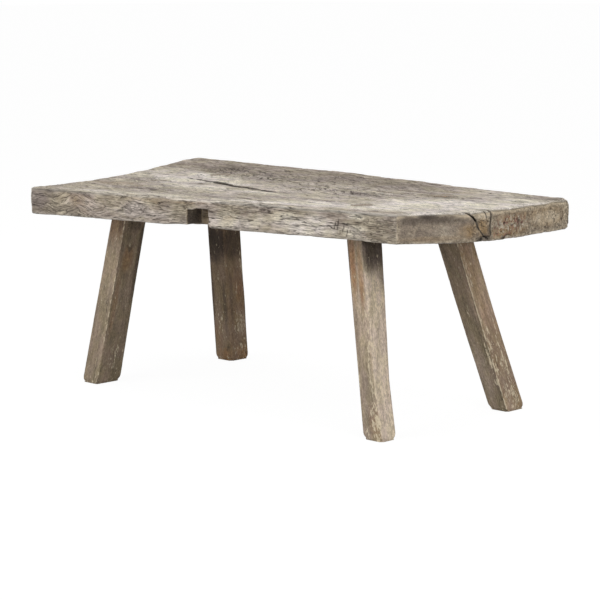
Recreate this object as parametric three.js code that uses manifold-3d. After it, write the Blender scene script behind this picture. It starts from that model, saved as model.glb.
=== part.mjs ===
// A low rustic table: one thick weathered plank on four splayed, hewn legs.
// Each leg ends in a round tapered tenon that goes through the plank and is locked by a wedge.
// Millimetres, +Z up, X along the plank from left to right, Y from front to back.
// The origin is on the floor, under the middle of the whole.

import * as THREE from 'three';
import { mergeVertices, toCreasedNormals } from 'three/addons/utils/BufferGeometryUtils.js';
import Module from 'manifold-3d';

// Plank
const slabLength = 1136;
const slabWidth = 567;
const slabThickness = 53; // along its edges
const topHeight = 428; // the highest corner of the top, at the back left

// How far the other corners of the twisted plank lie below the highest one
const frontLeftDrop = 22;
const frontRightDrop = 5;
const backRightDrop = 9;

const backFallShares = [0.42, 0.92]; // of the length, between which the back edge falls

// The plank is cupped: its top is hollow across the middle, and its underside bellies out. It
// is also a little thicker at its ends than halfway along.
const leftHollow = 9;
const rightHollow = 2;
const hollowSpanShare = 0.9; // of the width, from the front
const underBelly = 3;
const endSwell = 2.5; // how much lower its underside lies at its ends

// Hewing left low crests on the top, which fade out towards its front and back edges. Two waves
// of them cross each other, and the second is longer than the first by hewCrossShare.
const hewHeight = 1.5; // of the highest crest over the mean
const hewLength = 260; // from crest to crest along the plank
const hewWidth = 73; // and across it
const hewCrossShare = 1.3;

// The long split in the top, V-shaped. Its line is in shares of half the length and half the
// width, and its width and depth there are a share of the largest.
const splitWidth = 12;
const splitDepth = 12;
const splitShares = [
  { alongShare: -0.61, acrossShare: 0.168, openShare: 0.15 },
  { alongShare: -0.511, acrossShare: 0.11, openShare: 0.32 },
  { alongShare: -0.44, acrossShare: 0.066, openShare: 0.38 },
  { alongShare: -0.352, acrossShare: 0.04, openShare: 0.62 },
  { alongShare: -0.282, acrossShare: -0.014, openShare: 1 },
  { alongShare: -0.229, acrossShare: -0.068, openShare: 0.85 },
  { alongShare: -0.141, acrossShare: -0.1, openShare: 0.52 },
  { alongShare: -0.035, acrossShare: -0.145, openShare: 0.38 },
  { alongShare: 0.088, acrossShare: -0.174, openShare: 0.12 },
];

// Corners of the plan, counterclockwise from the front left, as shares of half the length and
// half the width. The front right corner is clipped off by a saw cut.
const planShares = [
  { name: 'frontLeft', alongShare: -0.822, acrossShare: -1 },
  { name: 'frontRight', alongShare: 0.887, acrossShare: -0.831 },
  { name: 'clippedRight', alongShare: 1, acrossShare: -0.418 },
  { name: 'backRight', alongShare: 0.972, acrossShare: 0.725 },
  { name: 'backLeft', alongShare: -1, acrossShare: 1 },
];
const cornerSetbacks = {
  // where the rounding of each corner starts
  frontLeft: 16,
  frontRight: 7,
  clippedRight: 16,
  backRight: 22,
  backLeft: 16,
};
const arrisRadius = 7; // wear along the upper and lower edges
const edgeStep = 36; // spacing of the points along a straight edge

// Notch in the front face, left from an older joint, open at the front and below
const notchWidth = 58;
const notchHeight = 30; // from the underside to its corners
const notchArch = 5; // how far its ragged top rises in the middle
const notchDepth = 42;
const notchAlongShare = 0.499; // of the front edge, from the left

// Checks in the right end: narrow splits that open at the end and close inside the plank
const slantedCheck = { mouth: 5, depth: 95, lean: 57, acrossShare: -0.327 };
const uprightCheck = { mouth: 4, depth: 70, lean: 0, acrossShare: -0.184 };
const checkOverrunShare = 0.2; // of a check's depth, outside the end face

// Legs. The mortise's place on the top is a share of half the length and half the width, and the
// foot stands further out than the mortise by outAlong and outAcross. A bowed leg's middle lies
// nearer to the table's middle, by the same bow along and across. The hewing takes cornerCut off
// the width of each face at each of its corners. The face that looks out along the table spreads
// by flare at the foot.
const frontLeftLeg = {
  place: 'front_left',
  mortiseAlongShare: -0.554,
  mortiseAcrossShare: -0.451,
  outAlong: 57,
  outAcross: 51,
  bow: 0,
  frontWidth: 44,
  sideWidth: 59,
  footFrontWidth: 48,
  footSideWidth: 65,
  cornerCut: 4,
  flare: 0,
};
const backLeftLeg = {
  place: 'back_left',
  mortiseAlongShare: -0.532,
  mortiseAcrossShare: 0.362,
  outAlong: 60,
  outAcross: 88,
  bow: 0,
  frontWidth: 52.5,
  sideWidth: 57,
  footFrontWidth: 53,
  footSideWidth: 58.5,
  cornerCut: 7,
  flare: 0,
};
const frontRightLeg = {
  place: 'front_right',
  mortiseAlongShare: 0.567,
  mortiseAcrossShare: -0.453,
  outAlong: 92,
  outAcross: 55,
  bow: 0,
  frontWidth: 49.5,
  sideWidth: 53.5,
  footFrontWidth: 40.5,
  footSideWidth: 42.5,
  cornerCut: 6,
  flare: 9.5,
};
const backRightLeg = {
  place: 'back_right',
  mortiseAlongShare: 0.5675,
  mortiseAcrossShare: 0.346,
  outAlong: 94,
  outAcross: 89,
  bow: 2,
  frontWidth: 51.5,
  sideWidth: 55,
  footFrontWidth: 48,
  footSideWidth: 55.5,
  cornerCut: 5,
  flare: 0,
};
const legs = [frontLeftLeg, backLeftLeg, frontRightLeg, backRightLeg];

const footWear = 2; // how far a foot's lower edge is worn in
const footWearHeight = 5;
const flareShare = 0.25; // of a leg's length, over which its flare spreads

// Tenons, kerfs and wedges
const tenonShare = 0.88; // of the narrower face of its leg, at the underside
const tenonTaperShare = 0.06; // of the tenon's diameter, lost over the plank's thickness
const tenonProud = 1; // how far a tenon stands above the top
const kerfWidth = 5; // at the top
const kerfFootWidth = 2;
const kerfDepth = 34;
const wedgeEndGap = 5; // room left in the kerf below the wedge

const clearance = 0.3; // between pieces that fit into or bear on each other
const overrun = 40; // how far a cutting shape runs past what it cuts

// Steps of the round shapes
const cornerSteps = 4;
const arrisSteps = 3;
const tenonSides = 28;
const notchSteps = 6;
const topRings = 11; // of faces, from its middle to its edge
const undersideRingShares = [0.25, 0.6];
const shaftRingShares = [0.25, 0.5, 0.75, 1]; // of a leg's length, from the floor
const creaseAngle = Math.PI / 6;

const slabMaterial = new THREE.MeshStandardMaterial({
  color: '#9a8d7c',
  roughness: 0.9,
  metalness: 0,
});
const legMaterial = new THREE.MeshStandardMaterial({
  color: '#65543f',
  roughness: 0.88,
  metalness: 0,
});
const wedgeMaterial = new THREE.MeshStandardMaterial({
  color: '#84725b',
  roughness: 0.9,
  metalness: 0,
});

const wasm = await Module();
wasm.setup();

const mix = THREE.MathUtils.lerp;

// A solid from a closed geometry
function solidOf(geometry) {
  const bare = geometry.clone();
  bare.deleteAttribute('normal');
  bare.deleteAttribute('uv');
  const merged = mergeVertices(bare);
  return new wasm.Manifold(
    new wasm.Mesh({
      numProp: 3,
      vertProperties: new Float32Array(merged.attributes.position.array),
      triVerts: new Uint32Array(merged.index.array),
    }),
  );
}

// A named mesh from a solid
function meshOf(solid, name, material) {
  const cut = solid.getMesh();
  const geometry = new THREE.BufferGeometry();
  geometry.setAttribute('position', new THREE.BufferAttribute(cut.vertProperties, cut.numProp));
  geometry.setIndex(new THREE.BufferAttribute(cut.triVerts, 1));
  const mesh = new THREE.Mesh(toCreasedNormals(geometry, creaseAngle), material);
  mesh.name = name;
  return mesh;
}

// A closed skin over rings with equally many points, listed from the first end to the last
function skinOver(rings, firstCentre, lastCentre) {
  const count = rings[0].length;
  const points = [...rings.flat(), firstCentre, lastCentre];
  const first = points.length - 2;
  const last = points.length - 1;
  const index = [];
  for (let i = 0; i < count; i += 1) {
    const next = (i + 1) % count;
    index.push(first, next, i);
    for (let ring = 0; ring + 1 < rings.length; ring += 1) {
      const low = ring * count;
      const high = low + count;
      index.push(low + i, low + next, high + next);
      index.push(low + i, high + next, high + i);
    }
    const end = (rings.length - 1) * count;
    index.push(last, end + i, end + next);
  }
  const geometry = new THREE.BufferGeometry().setFromPoints(points);
  geometry.setIndex(index);
  return geometry;
}

// Heights of the twisted plank. Each takes a place in plan.
const alongOf = (x) => (x + slabLength / 2) / slabLength;
const acrossOf = (y) => (y + slabWidth / 2) / slabWidth;

function twistAt(x, y) {
  const front = mix(frontLeftDrop, frontRightDrop, alongOf(x));
  const [fallStart, fallEnd] = backFallShares;
  const back = backRightDrop * THREE.MathUtils.smoothstep(alongOf(x), fallStart, fallEnd);
  return mix(front, back, acrossOf(y));
}

function hewAt(x, y) {
  const along = x / hewLength;
  const across = y / hewWidth;
  const first = Math.cos(2 * Math.PI * (across + along));
  const second = Math.cos((2 * Math.PI * (across - along)) / hewCrossShare);
  return (hewHeight / 2) * (first + second) * Math.sin(Math.PI * acrossOf(y));
}

function topAt(x, y) {
  const depth = mix(leftHollow, rightHollow, alongOf(x));
  const across = Math.min(acrossOf(y) / hollowSpanShare, 1);
  return topHeight - twistAt(x, y) - depth * Math.sin(Math.PI * across) + hewAt(x, y);
}

function undersideAt(x, y) {
  const belly = underBelly * Math.sin(Math.PI * acrossOf(y));
  const swell = endSwell * ((2 * x) / slabLength) ** 2;
  return topHeight - slabThickness - twistAt(x, y) - belly - swell;
}

// Plan of the plank, as straight edges and rounded corners
function planCorners() {
  return planShares.map(({ name, alongShare, acrossShare }) => ({
    corner: new THREE.Vector2((alongShare * slabLength) / 2, (acrossShare * slabWidth) / 2),
    setback: cornerSetbacks[name],
  }));
}

function towards(from, to, distance) {
  return to.clone().sub(from).setLength(distance).add(from);
}

function planPath() {
  const corners = planCorners();
  const path = new THREE.Path();
  corners.forEach(({ corner, setback }, i) => {
    const before = corners[(i + corners.length - 1) % corners.length].corner;
    const after = corners[(i + 1) % corners.length].corner;
    const start = towards(corner, before, setback);
    const end = towards(corner, after, setback);
    if (i === 0) path.moveTo(start.x, start.y);
    else path.lineTo(start.x, start.y);
    path.quadraticCurveTo(corner.x, corner.y, end.x, end.y);
  });
  path.closePath();
  return path;
}

// Points of the plan, each with the direction that faces out of the plank there
function planPoints() {
  return planPath().curves.flatMap((curve) => {
    const straight = curve.isLineCurve;
    const steps = straight ? Math.ceil(curve.getLength() / edgeStep) : cornerSteps;
    return Array.from({ length: steps }, (_, i) => {
      const tangent = curve.getTangent(i / steps);
      return {
        point: curve.getPoint(i / steps),
        outward: new THREE.Vector2(tangent.y, -tangent.x),
      };
    });
  });
}

// The plank before it is cut. Its top can be raised and its underside lowered, for the shapes
// that trim the legs.
function plankGeometry(raise = 0, lower = 0) {
  const plan = planPoints();
  const top = (x, y) => topAt(x, y) + raise;
  const underside = (x, y) => undersideAt(x, y) - lower;
  const ring = (inset, share, height) =>
    plan.map(({ point, outward }) => {
      const x = (point.x - inset * outward.x) * share;
      const y = (point.y - inset * outward.y) * share;
      return new THREE.Vector3(x, y, height(x, y));
    });
  const rings = undersideRingShares.map((share) => ring(arrisRadius, share, underside));
  for (let i = 0; i <= arrisSteps; i += 1) {
    const turn = ((Math.PI / 2) * i) / arrisSteps;
    const inset = arrisRadius * (1 - Math.sin(turn));
    const rise = arrisRadius * (1 - Math.cos(turn));
    rings.push(ring(inset, 1, (x, y) => underside(x, y) + rise));
  }
  for (let i = 0; i <= arrisSteps; i += 1) {
    const turn = ((Math.PI / 2) * i) / arrisSteps;
    const inset = arrisRadius * (1 - Math.cos(turn));
    const fall = arrisRadius * (1 - Math.sin(turn));
    rings.push(ring(inset, 1, (x, y) => top(x, y) - fall));
  }
  for (let i = topRings - 1; i > 0; i -= 1) rings.push(ring(arrisRadius, i / topRings, top));
  return skinOver(
    rings,
    new THREE.Vector3(0, 0, underside(0, 0)),
    new THREE.Vector3(0, 0, top(0, 0)),
  );
}

// Notch: an outline with an arched top, cut into the front face and square to it. A curve's
// middle lies halfway to its control point.
function notchSolid() {
  const [{ corner: left }, { corner: right }] = planCorners();
  const middle = left.clone().lerp(right, notchAlongShare);
  const half = notchWidth / 2;
  const outline = new THREE.Shape();
  outline.moveTo(-half, -overrun);
  outline.lineTo(half, -overrun);
  outline.lineTo(half, notchHeight);
  outline.quadraticCurveTo(0, notchHeight + notchArch + notchArch, -half, notchHeight);
  outline.closePath();
  const geometry = new THREE.ExtrudeGeometry(outline, {
    depth: notchDepth + overrun,
    bevelEnabled: false,
    curveSegments: notchSteps,
  });
  geometry.translate(0, 0, -notchDepth);
  geometry.rotateX(Math.PI / 2);
  geometry.rotateZ(Math.atan2(right.y - left.y, right.x - left.x));
  geometry.translate(middle.x, middle.y, undersideAt(middle.x, middle.y));
  return solidOf(geometry);
}

// The long split, as V-shaped sections along the plank that go on upwards past the top
function splitSolid() {
  const sections = splitShares.map(({ alongShare, acrossShare, openShare }) => {
    const x = (alongShare * slabLength) / 2;
    const y = (acrossShare * slabWidth) / 2;
    const z = topAt(x, y);
    const depth = splitDepth * openShare;
    const half = ((splitWidth * openShare) / 2) * ((depth + overrun) / depth);
    return {
      middle: new THREE.Vector3(x, y, z),
      ring: [
        new THREE.Vector3(x, y, z - depth),
        new THREE.Vector3(x, y + half, z + overrun),
        new THREE.Vector3(x, y - half, z + overrun),
      ],
    };
  });
  const rings = sections.map(({ ring }) => ring);
  return solidOf(skinOver(rings, sections[0].middle, sections[sections.length - 1].middle));
}

// One check: a wedge in plan, from its mouth at the right end to its point inside the plank,
// which leans across the plank from the top down
function checkSolid({ mouth, depth, lean, acrossShare }) {
  const past = depth * checkOverrunShare;
  const wide = (mouth * (depth + past)) / depth / 2;
  const plan = new THREE.Shape();
  plan.moveTo(-depth, 0);
  plan.lineTo(past, -wide);
  plan.lineTo(past, wide);
  plan.closePath();
  const height = slabThickness + overrun + overrun;
  const geometry = new THREE.ExtrudeGeometry(plan, { depth: height, bevelEnabled: false });
  geometry.translate(0, 0, -height / 2);
  geometry.applyMatrix4(new THREE.Matrix4().makeShear(0, 0, 0, 0, 0, -lean / slabThickness));
  const x = endFaceAt((acrossShare * slabWidth) / 2);
  const y = (acrossShare * slabWidth) / 2;
  geometry.translate(x, y, (topAt(x, y) + undersideAt(x, y)) / 2);
  return solidOf(geometry);
}

// How far along the plank its right end lies, at a place across it
function endFaceAt(y) {
  const [, , front, back] = planCorners().map(({ corner }) => corner);
  return mix(front.x, back.x, (y - front.y) / (back.y - front.y));
}

// The line of one leg: its foot, its mortise's centre on the top, and the unit vector between
function legLine({ mortiseAlongShare, mortiseAcrossShare, outAlong, outAcross }) {
  const x = (mortiseAlongShare * slabLength) / 2;
  const y = (mortiseAcrossShare * slabWidth) / 2;
  const head = new THREE.Vector3(x, y, topAt(x, y));
  const foot = new THREE.Vector3(
    x + Math.sign(x) * outAlong,
    y + Math.sign(y) * outAcross,
    0,
  );
  return { head, foot, up: head.clone().sub(foot).normalize() };
}

// Moves a geometry made along +Z, with its origin at the mortise's centre on the top, onto a leg
function ontoLeg(geometry, { head, up }) {
  const turn = new THREE.Quaternion().setFromUnitVectors(new THREE.Vector3(0, 0, 1), up);
  geometry.applyQuaternion(turn);
  geometry.translate(head.x, head.y, head.z);
  return geometry;
}

function tenonSolid(leg, line, spare) {
  const diameter = tenonShare * Math.min(leg.frontWidth, leg.sideWidth);
  const slope = (diameter * tenonTaperShare) / slabThickness / 2;
  const above = overrun;
  const below = slabThickness + overrun;
  const geometry = new THREE.CylinderGeometry(
    diameter / 2 - slope * (slabThickness + above) + spare,
    diameter / 2 + slope * (below - slabThickness) + spare,
    above + below,
    tenonSides,
  );
  geometry.rotateX(Math.PI / 2);
  geometry.translate(0, 0, (above - below) / 2);
  return solidOf(ontoLeg(geometry, line));
}

// A tapered slot or wedge across the tenon, square to the plank's length
function kerfSolid(leg, line, spare, depth) {
  const slope = (kerfWidth - kerfFootWidth) / kerfDepth / 2;
  const halfAt = (below) => kerfWidth / 2 - slope * below - spare;
  const outline = new THREE.Shape();
  outline.moveTo(-halfAt(-overrun), overrun);
  outline.lineTo(-halfAt(depth), -depth);
  outline.lineTo(halfAt(depth), -depth);
  outline.lineTo(halfAt(-overrun), overrun);
  outline.closePath();
  const length = leg.frontWidth + overrun;
  const geometry = new THREE.ExtrudeGeometry(outline, { depth: length, bevelEnabled: false });
  geometry.translate(0, 0, -length / 2);
  geometry.rotateX(Math.PI / 2);
  return solidOf(ontoLeg(geometry, line));
}

// Hewn shaft of a leg, as level sections from the floor up to inside the plank
function shaftSolid(leg, { head, foot }) {
  const section = (share, inset) => {
    const bow = leg.bow * Math.sin(Math.PI * share);
    const x = mix(leg.footFrontWidth, leg.frontWidth, share) / 2 - inset;
    const y = mix(leg.footSideWidth, leg.sideWidth, share) / 2 - inset;
    const cut = leg.cornerCut;
    const centre = foot.clone().lerp(head, share);
    const outwards = Math.sign(centre.x);
    const spread = outwards * leg.flare * Math.max(1 - share / flareShare, 0);
    centre.x -= outwards * bow;
    centre.y -= Math.sign(centre.y) * bow;
    const corners = [
      [x - cut, -y],
      [x, cut - y],
      [x, y - cut],
      [x - cut, y],
      [cut - x, y],
      [-x, y - cut],
      [-x, cut - y],
      [cut - x, -y],
    ];
    return corners.map(([dx, dy]) => {
      const out = dx * outwards > 0 ? spread : 0;
      return new THREE.Vector3(dx + out, dy, 0).add(centre);
    });
  };
  const wearShare = footWearHeight / head.z;
  const rings = [section(0, footWear), section(wearShare, 0)];
  shaftRingShares.forEach((share) => rings.push(section(share, 0)));
  return solidOf(skinOver(rings, foot, head));
}

// Shapes that trim the legs: the room that the plank takes, and everything up to the tenons' tops
const plankRoom = solidOf(plankGeometry(overrun, clearance));
const upToTenonTop = solidOf(plankGeometry(tenonProud, topHeight));

const part = new THREE.Group();
let slab = solidOf(plankGeometry()).subtract(notchSolid()).subtract(splitSolid());
[slantedCheck, uprightCheck].forEach((check) => {
  slab = slab.subtract(checkSolid(check));
});

legs.forEach((leg) => {
  const line = legLine(leg);
  const tenon = tenonSolid(leg, line, 0).intersect(upToTenonTop);
  const shaft = shaftSolid(leg, line).subtract(plankRoom);
  const kerf = kerfSolid(leg, line, 0, kerfDepth);
  const wedge = kerfSolid(leg, line, clearance, kerfDepth - wedgeEndGap).intersect(tenon);
  slab = slab.subtract(tenonSolid(leg, line, clearance));
  part.add(meshOf(shaft.add(tenon).subtract(kerf), `leg_${leg.place}`, legMaterial));
  part.add(meshOf(wedge, `wedge_${leg.place}`, wedgeMaterial));
});
part.add(meshOf(slab, 'slab_top', slabMaterial));

// The origin lies under the middle of the whole
const middle = new THREE.Box3().setFromObject(part).getCenter(new THREE.Vector3());
part.position.set(-middle.x, -middle.y, 0);

export default part;
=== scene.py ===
import math

import bmesh
import bpy
import numpy as np
from mathutils import Matrix, Vector


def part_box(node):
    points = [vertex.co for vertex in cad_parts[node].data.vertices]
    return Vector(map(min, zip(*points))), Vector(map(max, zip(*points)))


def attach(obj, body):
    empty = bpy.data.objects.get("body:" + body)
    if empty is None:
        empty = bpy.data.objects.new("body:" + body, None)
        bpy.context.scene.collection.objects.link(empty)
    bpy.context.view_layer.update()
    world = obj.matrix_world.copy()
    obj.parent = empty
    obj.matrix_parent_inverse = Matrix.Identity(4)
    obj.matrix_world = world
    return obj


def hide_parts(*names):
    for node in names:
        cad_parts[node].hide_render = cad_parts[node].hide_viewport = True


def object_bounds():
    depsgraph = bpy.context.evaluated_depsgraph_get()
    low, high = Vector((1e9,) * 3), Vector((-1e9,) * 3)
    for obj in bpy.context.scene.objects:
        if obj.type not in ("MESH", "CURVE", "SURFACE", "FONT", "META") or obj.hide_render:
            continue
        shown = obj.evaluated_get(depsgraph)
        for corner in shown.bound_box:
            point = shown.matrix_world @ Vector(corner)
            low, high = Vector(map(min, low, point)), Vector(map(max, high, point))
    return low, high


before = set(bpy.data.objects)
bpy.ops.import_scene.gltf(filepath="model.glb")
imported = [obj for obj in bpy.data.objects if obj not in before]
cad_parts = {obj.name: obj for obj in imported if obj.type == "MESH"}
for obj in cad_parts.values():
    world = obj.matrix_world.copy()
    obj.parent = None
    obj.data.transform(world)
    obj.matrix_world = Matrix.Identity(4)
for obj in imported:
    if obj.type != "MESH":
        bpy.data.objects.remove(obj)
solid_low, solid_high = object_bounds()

scene = bpy.context.scene
print("solid pieces:", ", ".join(sorted(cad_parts)))

# %% [markdown]
# # A low table hewn from one plank
#
# The real thing is a single thick plank, grey and dry with age, on four hewn legs. The legs
# go right through the plank and are locked from above with wedges. The exact solids are
# loaded already. They give the sizes and the places, and this lesson gives them their wood:
# tool marks, splits, worn edges and colour.
#
# The first thing to settle is the eye. The camera stands low at the front right corner, far
# away behind a long lens, so the plank's long edges stay nearly parallel. The values were
# found by matching the table's corners with those in the picture.

# %% Camera
view_azimuth = math.radians(44.5)
view_elevation = math.radians(8.85)
view_roll = math.radians(-0.16)
view_distance = 4.08
view_target = Vector((0.0340, 0.0008, 0.1944))
lens_length = 122.52
film_width = 36.0

camera = bpy.data.objects.new("camera", bpy.data.cameras.new("camera"))
camera.data.lens = lens_length
camera.data.sensor_width = film_width
camera.data.clip_end = 200.0
camera.matrix_world = (
    Matrix.Translation(view_target)
    @ Matrix.Rotation(view_azimuth, 4, "Z")
    @ Matrix.Rotation(math.pi / 2 - view_elevation, 4, "X")
    @ Matrix.Rotation(view_roll, 4, "Z")
    @ Matrix.Translation((0, 0, view_distance))
)
scene.collection.objects.link(camera)
scene.camera = camera
scene.view_settings.view_transform = "Standard"
print("camera at", [round(value, 3) for value in camera.matrix_world.translation])

# %% [markdown]
# ## A bench for building materials
#
# A procedural material is a little network of nodes. Typing out every node and link takes
# many lines, so a small class does that work. Each of its methods adds one node and hands
# back the socket that the next node takes its value from.

# %% Node bench
def is_socket(value):
    return isinstance(value, bpy.types.NodeSocket)


class Bench:
    """Adds nodes to one tree and links them up."""

    def __init__(self, tree):
        self.tree = tree
        tree.nodes.clear()

    def add(self, kind, takes=None, **settings):
        node = self.tree.nodes.new("ShaderNode" + kind)
        for name, value in settings.items():
            setattr(node, name, value)
        for name, value in (takes or {}).items():
            self.feed(node.inputs[name], value)
        return node

    def feed(self, socket, value):
        if is_socket(value):
            self.tree.links.new(value, socket)
        else:
            socket.default_value = value

    def maths(self, operation, *values, clamp=False):
        takes = dict(enumerate(values))
        return self.add("Math", takes, operation=operation, use_clamp=clamp).outputs[0]

    def times(self, value, factor):
        return self.maths("MULTIPLY", value, factor)

    def times_plus(self, value, factor, added):
        return self.maths("MULTIPLY_ADD", value, factor, added)

    def most(self, first, second):
        return self.maths("MAXIMUM", first, second)

    def stretch(self, vector, densities):
        takes = {0: vector, 1: densities}
        return self.add("VectorMath", takes, operation="MULTIPLY").outputs[0]

    def ramp(self, value, low, high, start=0.0, end=1.0):
        """Turns values from low to high smoothly into values from start to end."""
        takes = {"Value": value, "From Min": low, "From Max": high}
        takes.update({"To Min": start, "To Max": end})
        return self.add("MapRange", takes, interpolation_type="SMOOTHSTEP").outputs[0]

    def mix(self, share, first, second, blend="MIX"):
        node = self.add("Mix", data_type="RGBA", blend_type=blend)
        self.feed(node.inputs["Factor"], share)
        for socket, colour in zip(node.inputs[6:8], (first, second)):
            self.feed(socket, colour if is_socket(colour) else (*colour, 1.0))
        return node.outputs[2]

    def noise(self, vector, densities, detail=4.0, roughness=0.55, distortion=0.0):
        """Noise whose lumps are one over the densities long, in metres."""
        takes = {
            "Vector": self.stretch(vector, densities),
            "Scale": 1.0,
            "Detail": detail,
            "Roughness": roughness,
            "Distortion": distortion,
        }
        return self.add("TexNoise", takes).outputs[0]

    def parts(self, vector):
        return self.add("SeparateXYZ", {0: vector}).outputs

    def stored(self, name):
        """The three values that the mesh keeps for each of its points."""
        node = self.add("Attribute", attribute_type="GEOMETRY", attribute_name=name)
        return node.outputs["Vector"]

    def stored_parts(self, name):
        return self.parts(self.stored(name))


def new_material(name):
    material = bpy.data.materials.new(name)
    material.use_nodes = True
    return material, Bench(material.node_tree)


def count_nodes(material):
    print(material.name, "has", len(material.node_tree.nodes), "nodes")


print("the bench can add:", ", ".join(name for name in vars(Bench) if name[0] != "_"))

# %% [markdown]
# ## Floor, sky and lamps
#
# The picture was cut out on white, so the floor should look white and still catch a faint
# shadow. A floor that really is white would throw a lot of light up under the table and
# flatten it. The Light Path node solves that: the camera sees a floor that is mostly plain
# white, while the light that bounces off it meets a middling grey. Gloss and glass should
# show the same white as the camera, so their rays count as seeing too.

# %% Floor
floor_half = 60.0
white = (1.0, 1.0, 1.0)
bounce_grey = (0.42, 0.41, 0.40)
shadow_share = 0.10
glow_strength = 1.05


def seen_directly(bench):
    """1 for a ray that shows something to the eye, 0 for one that carries light."""
    ray = bench.add("LightPath").outputs
    seen = bench.most(ray["Is Camera Ray"], ray["Is Glossy Ray"])
    return bench.most(seen, ray["Is Transmission Ray"])


bpy.ops.mesh.primitive_plane_add(size=2 * floor_half)
floor = bpy.context.object
floor.name = "floor"

floor_material, bench = new_material("white_floor")
seen = seen_directly(bench)
bare = bench.add("BsdfDiffuse", {"Color": (*white, 1.0)}).outputs[0]
glow = bench.add("Emission", {"Color": (*white, 1.0), "Strength": glow_strength}).outputs[0]
shown = bench.add("MixShader", {0: shadow_share, 1: glow, 2: bare}).outputs[0]
grey = bench.add("BsdfDiffuse", {"Color": (*bounce_grey, 1.0)}).outputs[0]
either = bench.add("MixShader", {0: seen, 1: grey, 2: shown}).outputs[0]
bench.add("OutputMaterial", {"Surface": either})
floor.data.materials.append(floor_material)
print("floor of", 2 * floor_half, "m, white to the eye and", bounce_grey, "to the light")

# %% [markdown]
# The light is that of a bright studio. The sky is a plain dome that lights everything
# evenly. Three very large lamps stand in it: one overhead, one low on the right and one low
# in front. The low ones shine on the outer faces of the legs but not on the inner ones,
# because the plank is in their way. That gives each leg its bright and its dark side.
# Together all this gives the top about as much light as makes a colour look as it is written.

# %% Light
sky_strength = 0.42
lamp_side = 2.4
lamps = {
    # place, watts
    "overhead": ((0.0, 0.3, 3.0), 24.0),
    "right": ((2.9, -0.9, 1.35), 40.0),
    "front": ((-0.7, -2.9, 1.40), 42.0),
}

world = bpy.data.worlds.new("studio")
world.use_nodes = True
scene.world = world
bench = Bench(world.node_tree)
seen = seen_directly(bench)
dome = bench.add("Background", {"Color": (*white, 1.0), "Strength": sky_strength}).outputs[0]
plain = bench.add("Background", {"Color": (*white, 1.0), "Strength": 1.0}).outputs[0]
either = bench.add("MixShader", {0: seen, 1: dome, 2: plain}).outputs[0]
bench.add("OutputWorld", {"Surface": either})

for name, (place, watts) in lamps.items():
    lamp = bpy.data.objects.new(name, bpy.data.lights.new(name, "AREA"))
    lamp.data.size = lamp_side
    lamp.data.energy = watts
    lamp.location = place
    lamp.rotation_euler = (-Vector(place)).to_track_quat("-Z", "Y").to_euler()
    scene.collection.objects.link(lamp)
    print("lamp", name, "at", place, "with", watts, "W")

# %% [markdown]
# ## Noise for carving
#
# A real surface that was worked with an axe and then aged for decades is uneven on every
# scale. Random lumps that blend into one another describe that well. This is the usual
# gradient noise, worked out for all points of a mesh at once. Giving it a long size along
# the grain and a short one across makes ridges instead of lumps.

# %% Lumps
mm = 0.001
table_side = 256
draw = np.random.default_rng(41)
shuffled = draw.permutation(table_side)
slopes = draw.normal(size=(table_side, 3))
slopes /= np.linalg.norm(slopes, axis=1)[:, None]
lump_height = 1.6
seed_stride = 17.37


def lumps(places, size, seed=0):
    """Smooth random heights from about -1 to 1, in lumps as long as size."""
    cells = places / np.asarray(size, float) + seed * seed_stride
    corner = np.floor(cells).astype(int)
    inside = cells - corner
    eased = inside**3 * (inside * (inside * 6 - 15) + 10)
    total = np.zeros(len(places))
    for step in np.ndindex(2, 2, 2):
        at = (corner + step) % table_side
        pick = shuffled[at[:, 0]]
        pick = shuffled[(pick + at[:, 1]) % table_side]
        pick = shuffled[(pick + at[:, 2]) % table_side]
        height = ((inside - step) * slopes[pick]).sum(1)
        total += height * np.where(step, eased, 1 - eased).prod(1)
    return total * lump_height


def layered(places, size, seed=0, layers=3):
    """Lumps with ever smaller ones on top of them."""
    size = np.asarray(size, float)
    return sum(lumps(places, size / 2**i, seed + i) / 2**i for i in range(layers))


def ease(values, low, high):
    """0 up to low, 1 from high, and a smooth step between."""
    share = np.clip((values - low) / (high - low), 0, 1)
    return share * share * (3 - 2 * share)


sample_heights = lumps(np.linspace((0, 0, 0), (1, 1, 1), 2000), (0.05, 0.05, 0.05))
print("lumps run from", sample_heights.min().round(2), "to", sample_heights.max().round(2))

# %% [markdown]
# ## Taking a blank
#
# A CAD solid has few, large faces, which can't be carved. The Remesh modifier in its voxel
# mode lays a fresh skin of small even faces over the same shape. The work is then done on
# the points of that skin with numpy, and a Decimate modifier thins out the places that
# stayed flat. The solid itself stays as it is, hidden, for the physics.

# %% Blanks
def settle(piece):
    """Makes what a piece's modifiers give into its own mesh."""
    ready = piece.evaluated_get(bpy.context.evaluated_depsgraph_get())
    mesh = bpy.data.meshes.new_from_object(ready)
    piece.modifiers.clear()
    piece.data = mesh


def blank_of(node, name, face):
    """A new piece with small even faces, in the shape of a CAD solid."""
    piece = bpy.data.objects.new(name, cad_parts[node].data.copy())
    scene.collection.objects.link(piece)
    remesh = piece.modifiers.new("even faces", "REMESH")
    remesh.mode = "VOXEL"
    remesh.voxel_size = face
    settle(piece)
    print(name, "starts with", len(piece.data.vertices), "points")
    return piece


def thin_out(piece, most_triangles):
    faces = len(piece.data.polygons) * 2
    if faces > most_triangles:
        piece.modifiers.new("thin out", "DECIMATE").ratio = most_triangles / faces
        settle(piece)


def points_of(piece):
    mesh = piece.data
    places = np.empty(len(mesh.vertices) * 3, np.float32)
    facing = np.empty(len(mesh.vertices) * 3, np.float32)
    mesh.vertices.foreach_get("co", places)
    mesh.vertex_normals.foreach_get("vector", facing)
    return places.reshape(-1, 3).astype(float), facing.reshape(-1, 3).astype(float)


def move_points(piece, places):
    piece.data.vertices.foreach_set("co", places.astype(np.float32).ravel())
    piece.data.update()


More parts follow.
